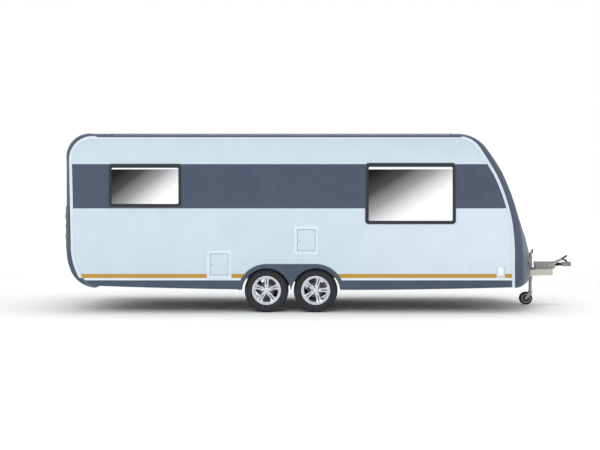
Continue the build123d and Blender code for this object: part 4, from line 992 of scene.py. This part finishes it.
inlet_x, inlet_z = inlet_centre
flap_face = half_width + rail_proud
flap_cover = plate(flap_size[0] - 0.010, flap_size[1] - 0.014, 0.010,
                   [(0, 0), (0.0012, 0.0012), (0.004, 0.0020), (0.012, 0.0022)])
piece("inlet_flap_cover", [on_wall(flap_cover, -1, inlet_x, inlet_z - 0.002, flap_face)], white_plastic,
      "inlet_flap")
grip = plate(0.034, 0.007, 0.003, cushion_edge(0.0035, 0.002))
piece("inlet_flap_grip", [on_wall(grip, -1, inlet_x, inlet_z - 0.058, flap_face)], white_plastic,
      "inlet_flap")
pin = lathe([(0.002, 0), (0.002, 0.0025), (0.012, 0.0025), (0.012, 0)], 10)
pin_circle = 0.012
socket = join(lathe([(0, 0), (0, 0.032), (0.013, 0.032), (0.0145, 0.030), (0.0145, 0.027), (0.002, 0.026),
                     (0.002, 0)], 36),
              *[moved(pin, (pin_circle * math.cos(turn), pin_circle * math.sin(turn), 0))
                for turn in (0.52, 2.62, 4.71)])
piece("inlet_socket", [on_wall(socket, -1, inlet_x, inlet_z, half_width - 0.022)], black_plastic, "body")


# Entrance door: trims, lower panel, lock, lamp above it, holdback and hinges

door_middle_x = sum(door_x) / 2
door_lock_x = door_x[0] + 0.045
hinge_x = door_x[1] + 0.022
hinge_face = half_width + 0.004
hinge_heights = (0.800, 1.350, 1.950)
door_window_half = 0.190
door_window_z = (1.520, 2.080)
entrance_lamp_z = 2.345

door_ring = wall_ring(1, door_x, door_z, 0.018, 0.084, half_width + 0.0022)
piece("door_frame_trim", [band(door_ring, flat_profile(0.005, 0.012, 0.002), (0, 1, 0))], rail_finish,
      "body")
window_ring = wall_ring(1, (door_middle_x - door_window_half, door_middle_x + door_window_half),
                        door_window_z, 0, 0.045, half_width + 0.003)
piece("door_window_trim", [band(window_ring, flat_profile(0.008, 0.022, 0.003), (0, 1, 0))], frame_black,
      "entrance_door")
lower_panel = plate(0.440, 0.560, 0.050, [(0, -0.001), (0.003, 0.0022), (0.008, 0.0028), (0.014, 0.0010)])
piece("door_lower_panel", [on_wall(lower_panel, 1, door_middle_x, 0.920)], wall_paint, "entrance_door")
lock_plate = plate(0.040, 0.120, 0.012, cushion_edge(0.005, 0.003))
piece("door_lock_plate", [on_wall(lock_plate, 1, door_lock_x, 1.128)], black_plastic, "entrance_door")
door_barrel = lathe([(0.005, 0), (0.005, 0.010), (0.009, 0.010), (0.010, 0.0085), (0.010, 0)], 24)
piece("door_lock_barrel", [on_wall(door_barrel, 1, door_lock_x, 1.104)], bolt_steel, "entrance_door")
lamp = plate(0.220, 0.050, 0.020, cushion_edge(0.012, 0.007))
piece("entrance_lamp", [on_wall(lamp, 1, door_middle_x, entrance_lamp_z)], lamp_clear, "body")
lamp_base = plate(0.236, 0.062, 0.024, cushion_edge(0.004, 0.002))
piece("entrance_lamp_base", [on_wall(lamp_base, 1, door_middle_x, entrance_lamp_z)], white_plastic, "body")
holdback = join(dome_bolt(0.016, 0.007), moved(dome_bolt(0.009, 0.006), (0, 0, 0.005)))
piece("door_holdback", [on_wall(holdback, 1, 1.085, 1.200)], black_plastic, "body")
hinge_bolts = [on_wall(dome_bolt(0.005, 0.003), 1, hinge_x, z + shift, hinge_face)
               for z in hinge_heights for shift in (-0.022, 0.022)]
piece("door_hinge_bolts", hinge_bolts, bolt_steel, "body")
hinge_leaf = plate(0.026, 0.080, 0.006, cushion_edge(0.005, 0.002))
piece("door_hinge_leaves", [on_wall(hinge_leaf, 1, hinge_x, z) for z in hinge_heights], rail_finish, "body")


# Nose: seals and locks laid on the moulding's own surface

nose_window_size, nose_window_z = (1.304, 0.544), 1.820
locker_mouth_size, locker_mouth_z = (1.632, 0.662), 1.015
locker_lock_y, locker_lock_z = 0.52, 0.765


def on_nose(name, y, z):
    """The point of that solid at y and z, reached from in front, and the way out of it."""
    return hit([name], (far_off, float(y), float(z)), (-1, 0, 0))


def nose_path(points):
    """A path of y and z laid just proud of the nose panel, and the way out of the panel at each point."""
    found = [on_nose("front_panel", y, z) for y, z in points]
    spots = np.array([spot for spot, _ in found])
    normals = np.array([normal for _, normal in found])
    return spots + 0.001 * normals, normals


path, normals = nose_path(rounded_outline(*nose_window_size, 0.090, 14) + (0, nose_window_z))
piece("nose_window_seal", [band(path, flat_profile(0.007, 0.022, 0.002), normals)], black_rubber, "body")
mouth = np.roll(rounded_outline(*locker_mouth_size, 0.096, 14) + (0, locker_mouth_z), -14, axis=0)
path, normals = nose_path(mouth[:42])
piece("locker_mouth_seal", [swept(path, flat_profile(0.005, 0.010, 0.002), normals)], black_rubber, "body")
locker_barrel = lathe([(0.006, 0), (0.006, 0.011), (0.0105, 0.011), (0.0115, 0.009), (0.0115, 0)], 24)
locker_lock = join(plate(0.046, 0.070, 0.014, cushion_edge(0.006, 0.004)),
                   moved(locker_barrel, (0, -0.012, 0)))
for side, side_name in side_names.items():
    spot, normal = on_nose("front_locker_lid", side * locker_lock_y, locker_lock_z)
    right = np.cross((0, 0, 1.0), normal)
    right /= np.linalg.norm(right)
    lock = seated(locker_lock, spot, right, np.cross(normal, right))
    piece(f"locker_lock_{side_name}", [lock], black_plastic, "front_locker_lid")


# Rear lamps and plate

lamp_face_x = -3.7993
lamp_y = 1.012
lamp_heights = (1.096, 1.240, 1.383)
lamp_screw_heights = (0.930, 1.035, 1.168, 1.312, 1.450, 1.518)
lamp_screw_y = 0.046
plate_z = 0.800
plate_lamp_z = plate_z + 0.092
bezel = lathe([(0, 0.0465), (0, 0.0530), (0.0040, 0.0520), (0.0065, 0.0490), (0.0060, 0.0465)], 40,
              ring=True)
top_lens = plate(0.078, 0.090, 0.008, [(0, 0), (0, 0.002), (0.004, 0.0045), (0.010, 0.0050)])

for side, side_name in side_names.items():
    y = side * lamp_y
    bezels = [on_rear(bezel, (lamp_face_x, y, z)) for z in lamp_heights]
    piece(f"lamp_bezels_{side_name}", bezels, bezel_bright, "body")
    screws = [on_rear(dome_bolt(0.004, 0.002), (lamp_face_x, y + shift, z))
              for z in lamp_screw_heights for shift in (-lamp_screw_y, lamp_screw_y)]
    piece(f"lamp_screws_{side_name}", screws, bolt_steel, "body")
    piece(f"lamp_top_lens_{side_name}", [on_rear(top_lens, (lamp_face_x, y, 1.480))], lens_amber, "body")
outline = rounded_outline(0.528, 0.120, 0.014, 8)
plate_ring = np.stack([np.full(32, lamp_face_x - 0.0005), outline[:, 0], outline[:, 1] + plate_z], -1)
piece("plate_surround", [band(plate_ring, flat_profile(0.008, 0.012, 0.002), (-1, 0, 0))], black_plastic,
      "body")
rear_skin = hit(["rear_panel"], (-far_off, 0.0, plate_lamp_z), (1, 0, 0))[0]
plate_lamp = plate(0.110, 0.030, 0.010, cushion_edge(0.012, 0.006))
piece("plate_lamp", [on_rear(plate_lamp, rear_skin + (0.002, 0, 0))], black_plastic, "body")


# Lips round the wheel arches

arch_z = 0.290
lip_radius = 0.3545
lip_turn = np.radians(np.linspace(7.5, 172.5, 60))

for side, side_name in side_names.items():
    lip_y = np.full(60, side * (half_width + 0.0035))
    lips = []
    for wheel_x, _ in wheels.values():
        path = np.stack([wheel_x + lip_radius * np.cos(lip_turn), lip_y,
                         arch_z + lip_radius * np.sin(lip_turn)], -1)
        lips.append(swept(path, round_profile(0.0045, 8), (0, 1, 0)))
    piece(f"arch_lips_{side_name}", lips, slate_gelcoat, "body")


# Hitch: bolts, clips, grips, cable and head

coupling_z = 0.630
lever_y = -0.059
housing_half = 0.052
head_half = 0.030
arm_root_x, arm_root_y, arm_tip_x, arm_tip_y = 2.080, 0.620, 3.500, 0.062

housing_bolts = [on_wall(hex_bolt(0.017, 0.010), side, x, 0.600, housing_half)
                 for x in (3.275, 3.385) for side in side_names]
piece("housing_bolts", housing_bolts, bolt_steel, "body")
arm_bolts = []
for x in (2.95, 3.10, 3.24, 3.42):
    arm_y = arm_root_y + (arm_tip_y - arm_root_y) * (x - arm_root_x) / (arm_tip_x - arm_root_x)
    for side, side_name in side_names.items():
        spot = from_above([f"drawbar_arm_{side_name}", "overrun_housing"], x, side * arm_y)
        arm_bolts.append(on_top(hex_bolt(0.019, 0.012), spot))
piece("drawbar_bolts", arm_bolts, bolt_steel, "body")
clips = []
for x, radius in ((3.547, 0.0285), (3.661, 0.0190)):
    clip = lathe([(-0.004, radius), (-0.004, radius + 0.0025), (0.004, radius + 0.0025),
                  (0.004, radius)], 32, ring=True)
    clips.append(seated(clip, (x, 0, coupling_z), (0, 1, 0), (0, 0, 1)))
piece("bellows_clips", clips, bolt_steel, "body")
lever_path = curve([(3.648, lever_y, 0.7135), (3.690, lever_y, 0.7420), (3.728, lever_y, 0.7680)], 20)
lever_grip = swept(lever_path, rounded_outline(0.020, 0.028, 0.008, 4), (0, 1, 0))
piece("brake_lever_grip", [lever_grip], black_plastic, "body")
cable = tube([(3.500, -0.058, 0.655), (3.545, -0.050, 0.690), (3.600, -0.030, 0.694), (3.650, -0.020, 0.668),
              (3.700, -0.034, 0.652)], 0.0022)
piece("breakaway_cable", [cable], black_rubber, "body")
handle_path = curve([(3.598, 0, 0.684), (3.640, 0, 0.698), (3.690, 0, 0.702), (3.728, 0, 0.692)], 24)
handle_grip = swept(handle_path, rounded_outline(0.036, 0.020, 0.008, 4), (0, 1, 0))
piece("coupling_grip", [handle_grip], black_plastic, "body")
head_bolts = [on_wall(hex_bolt(0.017, 0.010), side, x, coupling_z, head_half)
              for x in (3.690, 3.720) for side in side_names]
piece("head_bolts", head_bolts, bolt_steel, "body")
nose_rib = tube([(3.745, 0, 0.663), (3.775, 0, 0.664), (3.798, 0, 0.655), (3.804, 0, 0.630)], 0.005)
piece("head_nose_rib", [nose_rib], cast_grey, "body")


# Jockey wheel: clamp screw, crank, rims and axle nuts

jockey_x = 3.172
clamp_z = 0.520
crank_z, crank_y = 0.815, -0.128
jockey_wheel_x, jockey_wheel_z = 3.100, 0.100

clamp_stem = lathe([(0, 0), (0, 0.012), (0.060, 0.010), (0.060, 0)], 16)
clamp_bar = tube([(jockey_x, -0.090, clamp_z - 0.040), (jockey_x, -0.094, clamp_z),
                  (jockey_x, -0.090, clamp_z + 0.040)], 0.006)
clamp_screw = [on_wall(clamp_stem, -1, jockey_x, clamp_z, 0.034), clamp_bar]
piece("jockey_clamp_screw", clamp_screw, bolt_steel, "body")
crank_arm = tube([(jockey_x, -0.004, crank_z), (jockey_x, -0.060, crank_z + 0.002),
                  (jockey_x, crank_y, crank_z)], 0.007)
crank_knob = lathe([(0, 0), (0, 0.011), (0.004, 0.013), (0.050, 0.012), (0.056, 0.008), (0.056, 0)], 18)
crank = [crank_arm, on_top(crank_knob, (jockey_x, crank_y, crank_z + 0.003))]
piece("jockey_crank", crank, black_plastic, "body")
jockey_rim = lathe([(-0.004, 0.0085), (-0.004, 0.066), (0.001, 0.068), (0.0015, 0.060), (-0.003, 0.052),
                    (-0.003, 0.026), (0.0015, 0.022), (0.0015, 0.0085)], 40, ring=True)
for side, side_name in side_names.items():
    rim = on_wall(jockey_rim, side, jockey_wheel_x, jockey_wheel_z, 0.0285)
    piece(f"jockey_rim_{side_name}", [rim], galvanised, "jockey_wheel")
    nut = on_wall(hex_bolt(0.017, 0.009), side, jockey_wheel_x, jockey_wheel_z, 0.039)
    piece(f"jockey_axle_nut_{side_name}", [nut], bolt_steel, "jockey_fork")


# Underneath: dampers, brake cables and rod, floor vents and steady feet

steady_y = 0.620
steady_ends = {"rear": (-3.200, 1), "front": (1.980, -1)}

for end, (wheel_x, _) in wheels.items():
    for side, side_name in side_names.items():
        low = np.array([wheel_x - 0.020, side * 0.760, 0.345])
        high = np.array([wheel_x - 0.260, side * 0.660, 0.500])
        rod_part = tube([low, (low + high) / 2], 0.010, 6, 14)
        sleeve = tube([low + 0.32 * (high - low), high], 0.022, 6, 18)
        piece(f"damper_{end}_{side_name}", [rod_part, sleeve], black_plastic, "body")
        cable = tube([(wheel_x + 0.02, side * 0.905, 0.330), (wheel_x + 0.10, side * 0.800, 0.335),
                      (wheel_x + 0.16, side * 0.480, 0.440), (wheel_x + 0.20, side * 0.150, 0.500),
                      (wheel_x + 0.30, side * 0.060, 0.515)], 0.0055)
        piece(f"brake_cable_{end}_{side_name}", [cable], black_rubber, "body")
rod = tube([(-0.80, 0, 0.515), (0.8, 0, 0.515), (2.2, 0.02, 0.518), (2.8, 0.046, 0.520),
            (3.25, 0.046, 0.520)], 0.006)
yoke = plate(0.030, 0.150, 0.010, cushion_edge(0.010, 0.002))
piece("brake_rod", [rod] + [on_top(yoke, (x, 0, 0.510)) for x in (-0.60, 0.11)], galvanised, "body")
vent = plate(0.180, 0.120, 0.012, [(0, 0), (0, 0.006), (0.012, 0.008), (0.016, 0.004)])
vents = [seated(vent, (x, y, 0.555), (1, 0, 0), (0, -1, 0))
         for x, y in ((1.45, 0.42), (-2.3, -0.55), (-2.6, 0.5))]
piece("floor_vents", vents, black_plastic, "body")
foot = plate(0.110, 0.070, 0.012, cushion_edge(0.010, 0.004))
nut = hex_bolt(0.019, 0.020)
for end, (x, way) in steady_ends.items():
    for side, side_name in side_names.items():
        place = (x + way * 0.500, side * steady_y, 0.418)
        piece(f"steady_foot_{end}_{side_name}", [seated(foot, place, (1, 0, 0), (0, -1, 0))], galvanised,
              f"steady_{end}_{side_name}")
        place = (x - way * 0.041, side * steady_y, 0.460)
        piece(f"steady_nut_{end}_{side_name}", [seated(nut, place, (0, -way, 0), (0, 0, 1))], bolt_steel,
              "body")


# Camera, lights and floor

camera_data = bpy.data.cameras.new("camera")
camera_data.sensor_width = 36.0
camera_data.lens = 54.4
camera_data.shift_y = -0.0278
camera = bpy.data.objects.new("camera", camera_data)
camera.location = (-0.42, -14.15, 1.5)
camera.rotation_euler = (math.pi / 2, 0, 0)
bpy.context.scene.collection.objects.link(camera)
bpy.context.scene.camera = camera

floor_mesh = bpy.data.meshes.new("studio_floor")
floor_half = 120.0
floor_corners = [(-floor_half, -floor_half, 0), (floor_half, -floor_half, 0), (floor_half, floor_half, 0),
                 (-floor_half, floor_half, 0)]
floor_mesh.from_pydata(floor_corners, [], [(0, 1, 2, 3)])
floor = bpy.data.objects.new("studio_floor", floor_mesh)
bpy.context.scene.collection.objects.link(floor)


def floor_recipe(tree):
    """Pale studio floor with a painted glow that rises with distance from the middle."""
    point = places(tree)[0]
    cloud = noise(tree, point, 1.5, 3.0)
    away = add(tree, "VectorMath", {0: point}, operation="LENGTH").outputs["Value"]
    # Painted glow: the floor gives off light from 4 m out, strongest by 26 m.
    far_glow = step(tree, away, 4.0, 26.0, 0.0, 0.55)
    return {"Base Color": mix(tree, cloud, shade(246, 246, 246), shade(249, 249, 249)),
            "Emission Color": mix(tree, cloud, shade(254, 254, 254), shade(255, 255, 255)),
            "Emission Strength": far_glow}


floor_mesh.materials.append(finish("studio_floor", floor_recipe, roughness=0.9))

lights = {
    "key": ((-3.0, -10.0, 8.0), (-0.5, 0.0, 1.2), (9.0, 5.0), 300.0),
    "front_fill": ((11.0, -5.0, 4.5), (1.0, 0.0, 1.2), (5.0, 4.0), 90.0),
    "rear_fill": ((-11.0, -3.0, 5.0), (-1.0, 0.0, 1.2), (5.0, 4.0), 70.0),
    "left_fill": ((0.0, 11.0, 6.0), (0.0, 0.0, 1.2), (8.0, 4.0), 170.0),
    "top": ((0.0, 0.0, 9.0), (0.0, 0.0, 0.0), (9.0, 4.0), 280.0),
}
for name, (place, target, size, power) in lights.items():
    light_data = bpy.data.lights.new(name, "AREA")
    light_data.shape = "RECTANGLE"
    light_data.size, light_data.size_y = size
    light_data.energy = power
    light = bpy.data.objects.new(name, light_data)
    light.location = place
    aim = np.array(target) - np.array(place)
    light.rotation_euler = (math.atan2(math.hypot(aim[0], aim[1]), -aim[2]), 0, math.atan2(-aim[0], aim[1]))
    bpy.context.scene.collection.objects.link(light)

world = bpy.data.worlds.new("studio")
bpy.context.scene.world = world
world.use_nodes = True
sky = world.node_tree.nodes["Background"]
sky.inputs["Color"].default_value = (1, 1, 1, 1)
seen = world.node_tree.nodes.new("ShaderNodeLightPath").outputs["Is Camera Ray"]
strength = step(world.node_tree, seen, 0.0, 1.0, 0.78, 1.0)
world.node_tree.links.new(strength, sky.inputs["Strength"])
bpy.context.scene.view_settings.view_transform = "Standard"
